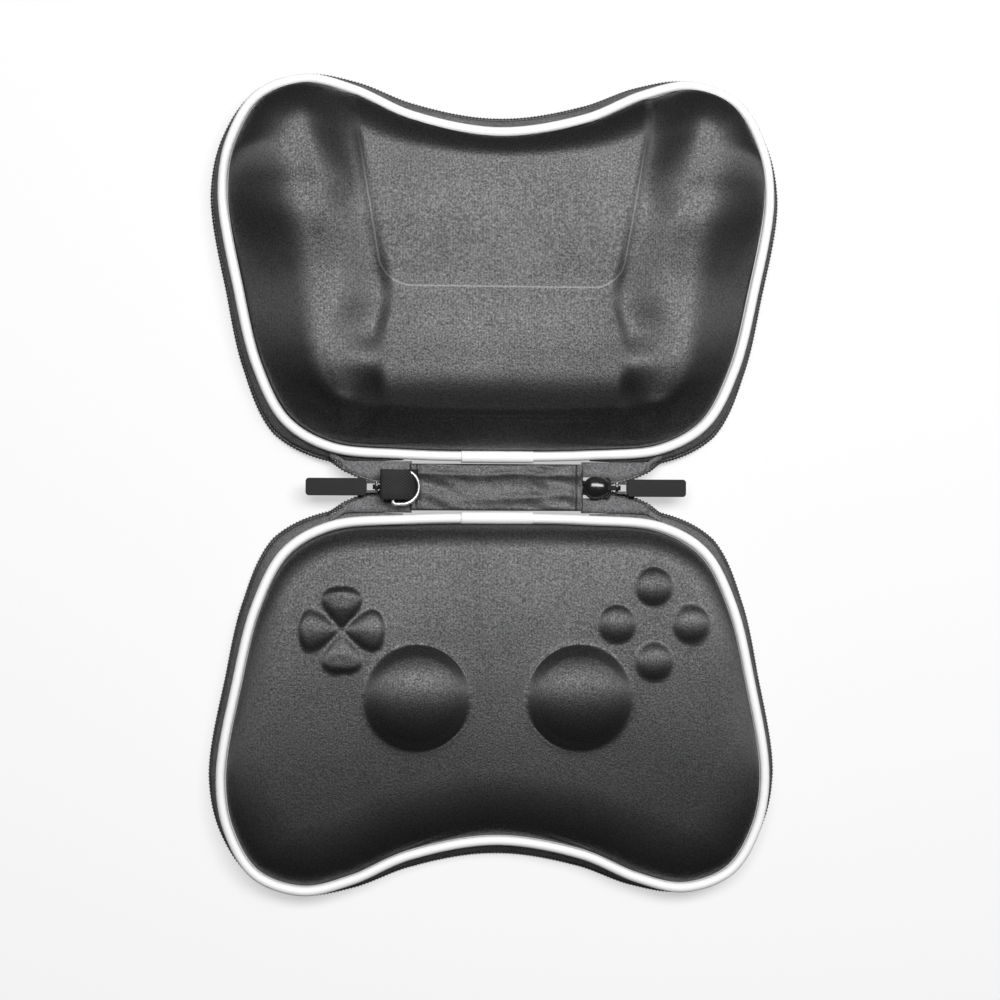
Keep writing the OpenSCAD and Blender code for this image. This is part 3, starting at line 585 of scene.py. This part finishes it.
wallLines = {"back": {"side": [(0, 14), (12, 17), (30, 21.5), (60, 24.5), (86, 25), (98, 24), (108, 19), (126, 16)],
                      "dip": 10.5, "dipHalf": 44},
             "front": {"side": [(0, 9.5), (16, 10), (50, 14), (90, 18), (108, 22), (126, 23)], "dip": 24.0,
                       "dipHalf": 50},
             "straight": [(0, 0.7), (14, 0.85), (40, 1), (70, 1), (92, 0.25), (126, 0.1)], "dipStart": 92, "dipRun": 14,
             "topRound": 0.3, "footShare": 0.12, "footRun": 0.08, "innerPull": 0.4, "blend": 3.2}
shellMesh = {"outerRings": 130, "innerRings": 40, "crowding": 1.3, "middle": 0.47}


def wallWidth(back, i):
    v, ax = rimLine[i][1], abs(rimLine[i][0])
    wall = wallLines["back" if back else "front"]
    low = along(wall["side"], np.array([v]))[0]
    atDip = ramp((v - wallLines["dipStart"]) / wallLines["dipRun"]) * math.exp(-(ax / wall["dipHalf"]) ** 2)
    return float(low * (1 - atDip) + wall["dip"] * atDip)


def wallShare(q, straight):
    # the wall's height from 0 at the rim to 1 at its top, between a soft and a straight form
    c = np.clip(q, 0, 1)
    soft = (1 - (1 - c) ** 2.3) ** (1 / 2.1)
    bend, foot = wallLines["topRound"], wallLines["footShare"]
    line = np.where(c < 1 - bend, c / (1 - bend / 2), 1 - (1 - c) ** 2 / (2 * bend * (1 - bend / 2)))
    start = 1 - (1 - np.clip(c / wallLines["footRun"], 0, 1)) ** 2
    return soft * (1 - straight) + (foot * start + (1 - foot) * line) * straight


def middlePoint():
    return np.array([0, rim["hingeY"] + shellMesh["middle"] * rim["length"]])


def shellSurface(back, uList, skin):
    # rings of points from the rim to near the middle, skin below the outer face
    start = rimHalf - rimNormal * (rim["pipingD"] / 2 + rim["seat"] + skin)
    width = np.array([wallWidth(back, i) for i in range(ringCount)]) - wallLines["innerPull"] * skin
    straight = along(wallLines["straight"], rimLine[:, 1]) if back else 0 * width
    rows = []
    for u in uList:
        p = start * (1 - u) + middlePoint() * u
        away = np.sqrt(((p[:, None, :] - start[None, :, :]) ** 2).sum(2))
        nearest = away.min(1)
        weight = np.exp(-(away - nearest[:, None]) / wallLines["blend"])
        weight /= weight.sum(1)[:, None]
        share = wallShare(nearest / (weight @ width), weight @ straight)
        top = (backTop if back else frontTop)(p[:, 0], p[:, 1]) - skin
        z = rim["shellZ"] + top * share
        if not back and skin == 0:
            z = z + buttonTop(p[:, 0], p[:, 1])
        rows.append(np.stack([p[:, 0], p[:, 1], z], 1))
    return rows


def makeShell(side, prefix):
    back = side > 0
    thick = (backShape if back else frontShape)["thick"]
    outerU, innerU = ([(k / n) ** shellMesh["crowding"] for k in range(n)]
                      for n in (shellMesh["outerRings"], shellMesh["innerRings"]))
    mid = middlePoint()
    top = (backTop if back else frontTop)(mid[:1], mid[1:])[0] + rim["shellZ"]
    peaks = [[np.array([[*mid, z]])] for z in (top, top - thick)]
    rings = shellSurface(back, outerU, 0.0) + peaks[0] + shellSurface(back, innerU[::-1], thick) + peaks[1]
    points = halfPoints(side, np.concatenate(rings))
    n, flip = ringCount, side < 0
    peak = len(outerU) * n
    base = peak + 1
    roof = base + len(innerU) * n
    faces = ringFaces(len(outerU), n, flip=flip) + capFaces(peak - n, n, peak, flip)
    outerFaces = len(faces)
    faces += capFaces(base, n, roof, not flip)
    faces += [tuple(base + q for q in face) for face in ringFaces(len(innerU), n, flip=flip)]
    # the edge between the two skins
    for j in range(n):
        face = (roof - n + j, roof - n + (j + 1) % n, (j + 1) % n, j)
        faces.append(face[::-1] if flip else face)
    shell = newObject(prefix + "ShellCloth", points, faces, [backCloth if back else shellCloth, liningCloth])
    shell.data.polygons.foreach_set("material_index", [0] * outerFaces + [1] * (len(faces) - outerFaces))
    cornerUv(shell, "wales", points[:, 1::-1])
    put(shell, prefix + "_half", "moulded_cloth", prefix + "_shell")


for side, prefix in halves:
    makeShell(side, prefix)
print("shells are moulded")


# Piping with its sleeves

pipingShape = {"sides": 14, "sleeve": 24.0, "sleeveSides": 20, "lift": 0.05, "shift": 0.1, "lean": 0.06,
               "hem": ((0.5, 0.1), (0, 0.12), (0, 0.4), (0.35, 0.52)), "body": 0.5, "middle": 0.56, "flat": 0.9}


def makePiping(side, prefix):
    sides, radius = pipingShape["sides"], rim["pipingD"] / 2
    points = []
    for i in range(ringCount):
        for k in range(sides):
            a = 2 * math.pi * k / sides
            p = rimHalf[i] + rimNormal[i] * radius * math.cos(a)
            points.append((p[0], p[1], rim["pipingZ"] + radius * math.sin(a)))
    piece = newObject(prefix + "PipingCord", halfPoints(side, points),
                      ringFaces(ringCount, sides, closedPath=True, flip=side > 0), pipingSkin)
    put(piece, prefix + "_half", "piping", prefix + "_piping")


def makeSleeve(side, prefix):
    # a flattened tube over the joint of the cord's ends, open at both ends
    c, r = pipingShape, rim["pipingD"] / 2
    half = c["sleeve"] / 2
    grows = [(-half + inset, grow) for inset, grow in c["hem"]] + [(-half * 0.5, c["body"]), (0, c["middle"])]
    grows += [(half * 0.5, c["body"])] + [(half - inset, grow) for inset, grow in c["hem"][::-1]]
    sections = []
    for x, grow in grows:
        high = rim["pipingZ"] + c["lift"] + c["lean"] * math.sin(x)
        wide, tall = r + grow * c["flat"], r + grow
        sections.append([(x, rim["hingeY"] + wide * math.cos(a) - c["shift"], high + tall * math.sin(a))
                         for a in np.linspace(0, 2 * math.pi, c["sleeveSides"], endpoint=False)])
    points, faces = sweep(sections)
    piece = newObject(prefix + "PipingSleeve", halfPoints(side, points), faces[:-2], pipingSkin)
    fixNormals(piece.data)
    put(piece, prefix + "_half", "piping", prefix + "_piping_sleeve")


for side, prefix in halves:
    makePiping(side, prefix)
    makeSleeve(side, prefix)
print("piping is laid")


# Zipper: woven tape, a row of teeth and the cord that carries them

zipShape = {"tapeThick": 0.6, "shares": (0, 0.2, 0.4, 0.6, 0.8, 1.0), "ripple": 0.088, "bow": 0.35, "lowest": 1.02,
            "coreWide": 0.6, "coreThick": 0.62}
tooth = {"Pitch": 1.15, "Along": 0.4, "Thick": 0.82, "Across": 1.08}
coreSection = ((-1, -0.5), (-0.5, -1), (0.5, -1), (1, -0.5), (1, 0.5), (0.5, 1), (-0.5, 1), (-1, 0.5))


def stripRun(i):
    # length and direction of the tape's section at a rim sample
    reach = keyValue(i, 2)
    drop = (rim["foldZ"] - rim["coil"] - 2 * rim["seat"]) * keyValue(i, 3)
    length = math.hypot(reach, drop)
    return length, reach / length, -drop / length


def onStrip(i, a, lift=0.0):
    c, s = stripRun(i)[1:]
    out = rim["tapeOut"] + a * c - lift * s
    p = rimHalf[i] + rimNormal[i] * out
    return (p[0], p[1], rim["foldZ"] + a * s + lift * c)


def coilReach(i):
    # how far out along the tape's section the teeth's middle lies
    return stripRun(i)[0] + 2 * rim["seat"] + rim["coil"] / 2


def makeTape(side, prefix):
    half, shares = zipShape["tapeThick"] / 2, zipShape["shares"]
    sections, uv, run = [], [], 0.0
    for i in range(rim["steps"], ringCount - rim["steps"] + 1):
        length = stripRun(i)[0]
        bow = zipShape["ripple"] * math.sin(0.9 * i) + zipShape["bow"]
        outline = [(t, -half) for t in shares] + [(t, half) for t in shares[::-1]]
        sections.append([onStrip(i, length * t, lift + bow * math.sin(math.pi * t)) for t, lift in outline])
        run += float(np.linalg.norm(rimHalf[i % ringCount] - rimHalf[i - 1]))
        uv += [(run * mm, length * t * mm) for t, lift in outline]
    points, faces = sweep(sections)
    piece = clothPiece(prefix + "TapeCloth", halfPoints(side, points), faces, uv, tapeCloth)
    put(piece, prefix + "_half", "zipper_tape", prefix + "_zipper_tape")


def toothTree():
    # teeth at an even pitch along a path, turned by the path's own across attribute
    tree = bpy.data.node_groups.new("toothRow", "GeometryNodeTree")
    tree.interface.new_socket("Path", in_out="INPUT", socket_type="NodeSocketGeometry")
    for label, value in tooth.items():
        tree.interface.new_socket(label, in_out="INPUT", socket_type="NodeSocketFloat").default_value = value * mm
    tree.interface.new_socket("Material", in_out="INPUT", socket_type="NodeSocketMaterial")
    tree.interface.new_socket("Teeth", in_out="OUTPUT", socket_type="NodeSocketGeometry")
    given, end = tree.nodes.new("NodeGroupInput").outputs, tree.nodes.new("NodeGroupOutput")
    make = partial(addNode, tree)
    curve = make("GeometryNodeMeshToCurve", Mesh=given["Path"])
    even = make("GeometryNodeResampleCurve", {"mode": "LENGTH"}, Curve=curve.outputs[0], Length=given["Pitch"])
    across = make("GeometryNodeInputNamedAttribute", {"data_type": "FLOAT_VECTOR"}, Name="across")
    turn = make("FunctionNodeAxesToRotation", {"primary_axis": "Z", "secondary_axis": "X"},
                Primary_Axis=across.outputs["Attribute"], Secondary_Axis=make("GeometryNodeInputTangent").outputs[0])
    ball = make("GeometryNodeMeshUVSphere", Segments=10, Rings=7, Radius=1.0)
    size = make("ShaderNodeCombineXYZ", X=given["Along"], Y=given["Thick"], Z=given["Across"])
    spread = make("GeometryNodeInstanceOnPoints", Points=even.outputs[0], Instance=ball.outputs["Mesh"],
                  Rotation=turn.outputs[0], Scale=size.outputs[0])
    real = make("GeometryNodeRealizeInstances", Geometry=spread.outputs[0])
    shiny = make("GeometryNodeSetMaterial", Geometry=real.outputs[0], Material=given["Material"])
    smooth = make("GeometryNodeSetShadeSmooth", Geometry=shiny.outputs[0])
    feed(tree, end.inputs[0], smooth.outputs[0])
    return tree


teethGroup = toothTree()


def toothRow(name, path, across, sizes):
    mesh = bpy.data.meshes.new(name)
    mesh.from_pydata([tuple(p) for p in path], [(k, k + 1) for k in range(len(path) - 1)], [])
    turns = mesh.attributes.new("across", "FLOAT_VECTOR", "POINT")
    turns.data.foreach_set("vector", np.asarray(across, np.float32).ravel())
    piece = addObject(name, mesh)
    maker = piece.modifiers.new("teeth", "NODES")
    maker.node_group = teethGroup
    named = {item.name: item.identifier for item in teethGroup.interface.items_tree if item.in_out == "INPUT"}
    for label, value in sizes.items():
        maker[named[label]] = value * mm
    maker[named["Material"]] = coilPlastic
    return flatten(piece)


def cordAlong(path, across, wide, thick):
    # a flat core through the teeth, as vertices and faces
    path, across = np.asarray(path, float), np.asarray(across, float)
    tangent = np.gradient(path, axis=0)
    tangent /= np.linalg.norm(tangent, axis=1)[:, None]
    across = across / np.linalg.norm(across, axis=1)[:, None]
    lift = np.cross(tangent, across)
    return sweep([[tuple(p + a * wide * mm * u + l * thick * mm * w) for u, w in coreSection]
                  for p, a, l in zip(path, across, lift)])


def joined(name, *pieces):
    work = bmesh.new()
    for piece in pieces:
        work.from_mesh(piece.data)
        bpy.data.objects.remove(piece)
    mesh = bpy.data.meshes.new(name)
    work.to_mesh(mesh)
    work.free()
    mesh.materials.append(coilPlastic)
    mesh.polygons.foreach_set("material_index", [0] * len(mesh.polygons))
    mesh.polygons.foreach_set("use_smooth", [True] * len(mesh.polygons))
    return addObject(name, mesh)


def chain(name, path, across, **other):
    # path in metres; other holds the tooth sizes that differ in this run
    sizes = {**tooth, **other}
    teeth = toothRow(name + "Teeth", path, across, sizes)
    core = newObject(name + "Core", *cordAlong(path, across, zipShape["coreWide"] * sizes["Across"],
                                               zipShape["coreThick"] * sizes["Thick"]))
    fixNormals(core.data)
    return joined(name, teeth, core)


def makeCoil(side, prefix):
    path, across = [], []
    for i in range(2 * rim["steps"], ringCount - 2 * rim["steps"] + 1):
        here, there = onStrip(i, coilReach(i)), onStrip(i, coilReach(i) + 1.0)
        path.append((here[0], here[1], max(here[2], zipShape["lowest"])))
        across.append(np.subtract(there, here) * [1, side, 1])
    piece = chain(prefix + "CoilTeeth", halfPoints(side, path), across)
    put(piece, prefix + "_half", "zipper_coil", prefix + "_zipper_coil")


for side, prefix in halves:
    makeTape(side, prefix)
    makeCoil(side, prefix)
print("zipper tapes and teeth are sewn")


# The zipper near the sliders: teeth inside them and along two legs, tape webs, and the short runs over the folds

legShape = {"line": ((34.4, 0.62), (35.4, 1.35), (36.8, 1.72), (39.0, 1.8), (41.2, 1.95), (44.0, 2.8), (47.0, 4.0),
                     (50.2, 5.5)),
            "legTeeth": {"Thick": 0.68, "Across": 0.85}, "meshed": (28.7, 34.0, 6),
            "meshedTeeth": {"Along": 0.42, "Thick": 0.85, "Across": 0.92}}
webShape = {"edge": ((28.3, 3.5), (33.0, 3.5), (37.4, 3.3), (38.4, 2.3), (41.0, 2.1), (44.0, 3.0), (47.0, 4.2),
                     (49.6, 5.4), (51.4, 6.4)),
            "shares": (0, 0.33, 0.67, 1), "half": 0.3, "hemHalf": 0.18, "pastFold": 0.7, "sag": 0.072}


def makeChainEnd(side, prefix):
    c, z = legShape, rim["foldZ"]
    parts = []
    for sy in (-1, 1):
        path = [(side * x * mm, sy * y * mm, z * mm) for x, y in c["line"]]
        across = [(-t[1], t[0], 0) for t in np.gradient(np.array(path), axis=0)]
        parts.append(chain(prefix + "Leg", path, across, **c["legTeeth"]))
    middle = [(side * x * mm, 0, z * mm) for x in np.linspace(*c["meshed"])]
    parts.append(chain(prefix + "Meshed", middle, [(0, 1, 0)] * len(middle), **c["meshedTeeth"]))
    put(joined(prefix + "ChainTeeth", *parts), "spine", "zipper_coil", prefix + "_chain_end")


def makeTapeEnd(side, prefix):
    c = webShape
    rows, n = c["edge"], 2 * len(c["shares"])
    points, faces, uv = [], [], []
    for sy in (-1, 1):
        base = len(points)
        for x, y in rows:
            for u in c["shares"]:
                here = y + (rim["foldY"] + c["pastFold"] - y) * u
                sag = c["sag"] * math.sin(9 * u + 0.8 * x)
                for up in (-1, 1):
                    high = rim["foldZ"] + up * (c["half"] if u < 1 else c["hemHalf"]) + sag
                    points.append((side * x * mm, sy * here * mm, high * mm))
                    uv.append((x * mm, here * mm))
        for r in range(len(rows) - 1):
            a, b = base + r * n, base + (r + 1) * n
            faces += stripFaces(a, b, n)
        for a, turn in ((base, 1), (base + (len(rows) - 1) * n, -1)):
            faces += [(a + k, a + k + 2, a + k + 3, a + k + 1)[::turn] for k in range(0, n - 2, 2)]
    piece = clothPiece(prefix + "TapeWeb", points, faces, uv, tapeCloth)
    put(piece, "spine", "zipper_tape", prefix + "_tape_end")


def stripFaces(a, b, n):
    # between two rows of a thin web, each with n points that lie in pairs, lower and upper
    faces = []
    for k in range(0, n - 2, 2):
        faces += [(a + k + 1, a + k + 3, b + k + 3, b + k + 1), (a + k, b + k, b + k + 2, a + k + 2)]
    return faces + [(a, a + 1, b + 1, b), (a + n - 2, b + n - 2, b + n - 1, a + n - 1)]


bridgeShape = {"start": (50.2, 5.5), "heading": (0.86, 0.5, 0.0), "startAcross": (0.5, -0.86, 0), "steps": 8,
               "teeth": {"Thick": 0.74, "Across": 0.92}, "inset": (-0.35, 0.55, 0.1), "insetBy": 1.2, "half": 0.28,
               "spineEdge": (50.2, 7.9), "spineRun": 5.0, "seamStart": (50.4, 8.6, 0.05), "seamReach": 0.2,
               "blend": ((52, 7.0, 7.4), (55, 9.2, 6.0))}


def makeBridges(side, prefix):
    # teeth and tape that cross a fold, from the slider's leg to a half's own run
    c, z, i = bridgeShape, rim["foldZ"], 2 * rim["steps"]
    start, target = np.array([*c["start"], z]), np.array(onStrip(i, coilReach(i)))
    ahead = np.array(onStrip(i + 2, coilReach(i + 2))) - target
    ahead /= np.linalg.norm(ahead)
    span = np.linalg.norm(target - start)
    length = stripRun(i)[0]
    lastAcross = np.subtract(onStrip(i, length + 1), onStrip(i, length))
    steps = [k / c["steps"] for k in range(c["steps"] + 1)]
    line = [hermite(t, start, np.array(c["heading"]) * span, target, ahead * span) for t in steps]
    spineX, spineY = c["spineEdge"]
    seamX, seamY, seamUp = c["seamStart"]
    for sy, half in halves:
        flip = np.array([side, sy, 1.0])
        word = prefix + half.capitalize()
        path = [p * flip * mm for p in line]
        across = [((1 - t) * np.array(c["startAcross"]) + t * lastAcross) * flip for t in steps]
        teeth = chain(word + "TeethOverFold", path, across, **c["teeth"])
        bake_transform(teeth)
        cloth, uv = [], []
        for t, outer in zip(steps, line):
            spineSide = np.array([spineX + c["spineRun"] * t, spineY, z])
            halfSide = np.array(onStrip(i, c["seamReach"])) * t + np.array([seamX, seamY, z + seamUp]) * (1 - t)
            inner = outer + np.array(c["inset"]) * c["insetBy"]
            for p in (inner, (inner + halfSide) / 4 + spineSide / 2, halfSide):
                for up in (-c["half"], c["half"]):
                    cloth.append((p + [0, 0, up]) * flip * mm)
                    uv.append((p[0] * mm, p[1] * mm))
        last = 6 * c["steps"]
        faces = [face for a in range(0, last, 6) for face in stripFaces(a, a + 6, 6)] + [(0, 2, 3, 1), (2, 4, 5, 3)]
        faces += [(last, last + 1, last + 3, last + 2), (last + 2, last + 3, last + 5, last + 4)]
        web = clothPiece(word + "TapeOverFold", cloth, faces, uv, tapeCloth)
        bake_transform(web)


for side, prefix in ((1, "right"), (-1, "left")):
    makeChainEnd(side, prefix)
    makeTapeEnd(side, prefix)
    makeBridges(side, prefix)
print("zipper ends are sewn")


# Hardware: copies of the carried pieces with rounded edges

edgeWork = {"merge": 2e-6, "flatDeg": 1.5, "sharpDeg": 28, "profile": 0.6, "bindingRound": 0.12}
hardware = (("_slider_body", "SliderBody", sliderPaint, 0.16, 2, "slider_metal"),
            ("_slider_cap", "SliderCap", sliderPaint, 0.12, 2, "slider_metal"),
            ("_pull_link", "PullLink", linkMetal, 0.14, 2, "link_metal"),
            ("_pull_grip", "PullGrip", gripRubber, 0.3, 3, "grip_plastic"))


def bevelled(node, name, material, width, segments=2):
    # a copy of a carried piece with its sharp edges rounded
    work = bmesh.new()
    work.from_mesh(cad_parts[node].data)
    bmesh.ops.transform(work, matrix=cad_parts[node].matrix_world, verts=work.verts)
    bmesh.ops.remove_doubles(work, verts=work.verts, dist=edgeWork["merge"])
    bmesh.ops.dissolve_limit(work, angle_limit=math.radians(edgeWork["flatDeg"]), verts=work.verts, edges=work.edges)
    sharpAngle = math.radians(edgeWork["sharpDeg"])
    sharp = [e for e in work.edges if len(e.link_faces) == 2 and e.calc_face_angle(0) > sharpAngle]
    bmesh.ops.bevel(work, geom=sharp, offset=width * mm, offset_type="OFFSET", segments=segments,
                    profile=edgeWork["profile"], affect="EDGES", clamp_overlap=True)
    bmesh.ops.recalc_face_normals(work, faces=work.faces)
    mesh = bpy.data.meshes.new(name)
    work.to_mesh(mesh)
    work.free()
    mesh.polygons.foreach_set("use_smooth", [True] * len(mesh.polygons))
    mesh.materials.append(material)
    piece = addObject(name, mesh)
    piece.modifiers.new("even", "WEIGHTED_NORMAL").keep_sharp = False
    return flatten(piece)


for prefix in ("left", "right"):
    for node, word, material, width, segments, slot in hardware:
        piece = bevelled(prefix + node, prefix + word, material, width, segments)
        put(piece, "spine" if slot == "slider_metal" else prefix + "_pull", slot, prefix + node)


# The domed cap of the right slider, egg-shaped and glossy

capShape = {"middleX": 33.3, "halfLong": 4.7, "halfWide": 3.8, "base": 9.15, "rise": 2.6, "rings": 12, "sides": 40,
            "squareness": 2.2, "nose": 0.06, "taper": 0.1}


def makeDome():
    c = capShape
    points, rings, count = [], c["rings"], c["sides"]
    for r in range(rings):
        lift = math.sin(math.pi / 2 * r / rings)
        reach = max(1 - lift ** c["squareness"], 0) ** 0.5
        for k in range(count):
            a = 2 * math.pi * k / count
            nose, taper = 1 + c["nose"] * math.cos(a), 1 - c["taper"] * math.cos(a)
            points.append(((c["middleX"] + c["halfLong"] * nose * reach * math.cos(a)) * mm,
                           c["halfWide"] * taper * reach * math.sin(a) * mm, (c["base"] + c["rise"] * lift) * mm))
    points += [(c["middleX"] * mm, 0, (c["base"] + c["rise"]) * mm), (c["middleX"] * mm, 0, c["base"] * mm)]
    top = rings * count
    faces = ringFaces(rings, count) + capFaces(top - count, count, top) + capFaces(0, count, top + 1, True)
    piece = newObject("rightSliderDome", points, faces, sliderPaint)
    fixNormals(piece.data)
    put(piece, "spine", "slider_metal")


makeDome()


# The webbing loop that holds the D-ring, sewn to the band and laid over the left slider

strapShape = {"width": 10.0, "thick": 0.8, "foldX": -37.6, "foldZ": 12.45, "foldR": 0.9, "foldSteps": 9, "shift": 0.9,
              "under": [(-26.6, 8.5), (-27.6, 9.3), (-28.6, 10.6), (-30.0, 11.25), (-33.0, 11.35), (-36.0, 11.5)],
              "over": [(-36.0, 13.45), (-34.6, 13.65), (-32.0, 13.5), (-29.6, 12.9), (-28.3, 11.4), (-27.3, 9.9),
                       (-26.4, 9.1)]}


def makeStrap():
    c, half, t = strapShape, strapShape["width"] / 2, strapShape["thick"] / 2
    fold = [(c["foldX"] - c["foldR"] * math.sin(a), c["foldZ"] - c["foldR"] * math.cos(a))
            for a in np.linspace(0.1, math.pi - 0.1, c["foldSteps"])]
    line = np.array(c["under"] + fold + c["over"])
    tangent = np.gradient(line, axis=0)
    tangent /= np.linalg.norm(tangent, axis=1)[:, None]
    normal = np.stack([-tangent[:, 1], tangent[:, 0]], 1)
    # the lower side of the section from left to right, then the upper side back
    lower = [(-half, -0.4), (-half + 0.25, -1), (-half * 0.5, -1.06), (0, -1), (half * 0.5, -1.06), (half - 0.25, -1),
             (half, -0.4)]
    section = lower + [(y, -w) for y, w in lower[::-1]]
    points, uv, run = [], [], 0.0
    for k, (p, n) in enumerate(zip(line, normal)):
        run += 0 if k == 0 else float(np.linalg.norm(line[k] - line[k - 1]))
        for y, w in section:
            points.append(((p[0] + n[0] * w * t) * mm, (y + c["shift"]) * mm, (p[1] + n[1] * w * t) * mm))
            uv.append((run * mm, y * mm))
    n = len(section)
    ends = [tuple(range(n)), tuple(range((len(line) - 1) * n, len(line) * n))[::-1]]
    piece = clothPiece("webbingLoop", points, ringFaces(len(line), n) + ends, uv, webbingCloth)
    put(piece, "spine", "webbing", "d_ring_strap")


makeStrap()
print("strap and dome are in place")


# The hinge band: one cloth, hemmed at both ends, slack between its two seams

bandShape = {"half": 28.9, "reach": 7.8, "thick": 0.7, "columns": 150, "rows": 54, "hem": 2.4, "hemRise": 0.5,
             "dip": 0.28, "foldFrom": 6.8, "foldDrop": 0.4}
wrinkles = {"ripple": 0.09, "ridge": 0.88, "ridgeY": 4.3, "ridgeWide": 1.2, "second": 0.75, "secondY": -3.4,
            "secondWide": 1.5, "secondX": 9, "hollow": 0.35, "hollowY": 0.6, "hollowWide": 2.2, "slant": 0.308,
            "slantX": 20, "sideFade": 1.2, "endFade": 1.5}


def bandHeight(x, y):
    # ripples, two soft ridges, a hollow between them and slanting folds near the ends
    c = wrinkles
    ripple = math.sin(0.31 * x + 1.1) + 0.6 * math.sin(0.83 * x + 0.7 * y) + 0.4 * math.sin(1.7 * x - 0.5 * y + 2)
    swelling = 0.75 + 0.25 * math.sin(0.4 * x + 0.8)
    ridge = bell((y - c["ridgeY"] - 0.35 * math.sin(0.23 * x)) / c["ridgeWide"]) * swelling
    second = bell((y - c["secondY"] - 0.05 * (x - 8)) / c["secondWide"]) * bell((x - c["secondX"]) / 15)
    hollow = bell((y - c["hollowY"]) / c["hollowWide"])
    slant = math.sin(0.9 * (x * 0.45 + y)) * bell((abs(x) - c["slantX"]) / 8)
    edge = min(1, (bandShape["reach"] - abs(y)) / c["sideFade"], (bandShape["half"] - abs(x)) / c["endFade"])
    rise = c["ripple"] * ripple + c["ridge"] * ridge + c["second"] * second - c["hollow"] * hollow + c["slant"] * slant
    return float(rise * max(edge, 0))


def makeBand():
    c = bandShape
    xs, ys = np.linspace(-c["half"], c["half"], c["columns"]), np.linspace(-c["reach"], c["reach"], c["rows"])
    points, uv = [], []
    for up in (1, -1):
        for y in ys:
            fold = -c["foldDrop"] * max(0, abs(y) - c["foldFrom"]) ** 2
            for x in xs:
                inward = c["half"] - abs(x)
                hem = 0.0
                if inward < c["hem"]:
                    hem = c["hemRise"] * min(1, (c["hem"] - inward) / 0.4) * min(1, inward / 0.3 + 0.2)
                dip = -c["dip"] * math.exp(-((inward - c["hem"] - 0.5) / 0.45) ** 2)
                z = rim["foldZ"] + bandHeight(x, y) + fold + (c["thick"] / 2 + hem + dip if up > 0 else -c["thick"] / 2)
                points.append((x * mm, y * mm, z * mm))
                uv.append((x * mm, y * mm))
    nx, ny = len(xs), len(ys)
    total = nx * ny
    faces = []
    for j in range(ny - 1):
        for a in range(j * nx, j * nx + nx - 1):
            top = (a, a + 1, a + nx + 1, a + nx)
            faces += [top, (total + a, total + a + nx, total + a + nx + 1, total + a + 1)]
    border = list(range(nx)) + [j * nx + nx - 1 for j in range(1, ny)]
    border += list(range(total - 2, total - nx - 1, -1)) + [j * nx for j in range(ny - 2, 0, -1)]
    faces += [(a, total + a, total + b, b) for a, b in zip(border, border[1:] + border[:1])]
    piece = clothPiece("hingeCloth", points, faces, uv, bandCloth)
    put(piece, "spine", "band_cloth", "hinge_band")


makeBand()
print("band is sewn in")


# Binding tapes along the seams on the underside, and the ring's finish

for side, prefix in halves:
    node = prefix + "_seam_binding"
    piece = bevelled(node, prefix + "SeamBinding", bindingCloth, edgeWork["bindingRound"])
    put(piece, prefix + "_half", "binding", node)

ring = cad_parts["d_ring"].data
ring.materials.clear()
ring.materials.append(ringSteel)
print("bindings are sewn in and the ring has its finish")


# Floor: darker where the cloth mirrors it, and lifted to white for the camera

floorLook = {"half": 3, "tone": 0.38, "mirrored": 0.05, "lift": 0.55, "roughness": 0.9}


def makeFloor():
    c, half = floorLook, floorLook["half"]
    corners = [(-half, -half, 0), (half, -half, 0), (half, half, 0), (-half, half, 0)]
    material = bpy.data.materials.new("paleFloor")
    material.use_nodes = True
    tree = material.node_tree
    ray = tree.nodes.new("ShaderNodeLightPath").outputs
    tone = blendNode(tree, ray["Is Glossy Ray"], (c["tone"],) * 3, (c["mirrored"],) * 3)
    feedAll(tree, tree.nodes["Principled BSDF"], Roughness=c["roughness"], Specular_IOR_Level=0.0, Base_Color=tone,
            Emission_Color=(1, 1, 1, 1), Emission_Strength=mathNode(tree, "MULTIPLY", ray["Is Camera Ray"], c["lift"]))
    newObject("floor", corners, [(0, 1, 2, 3)], material, smooth=False)


makeFloor()
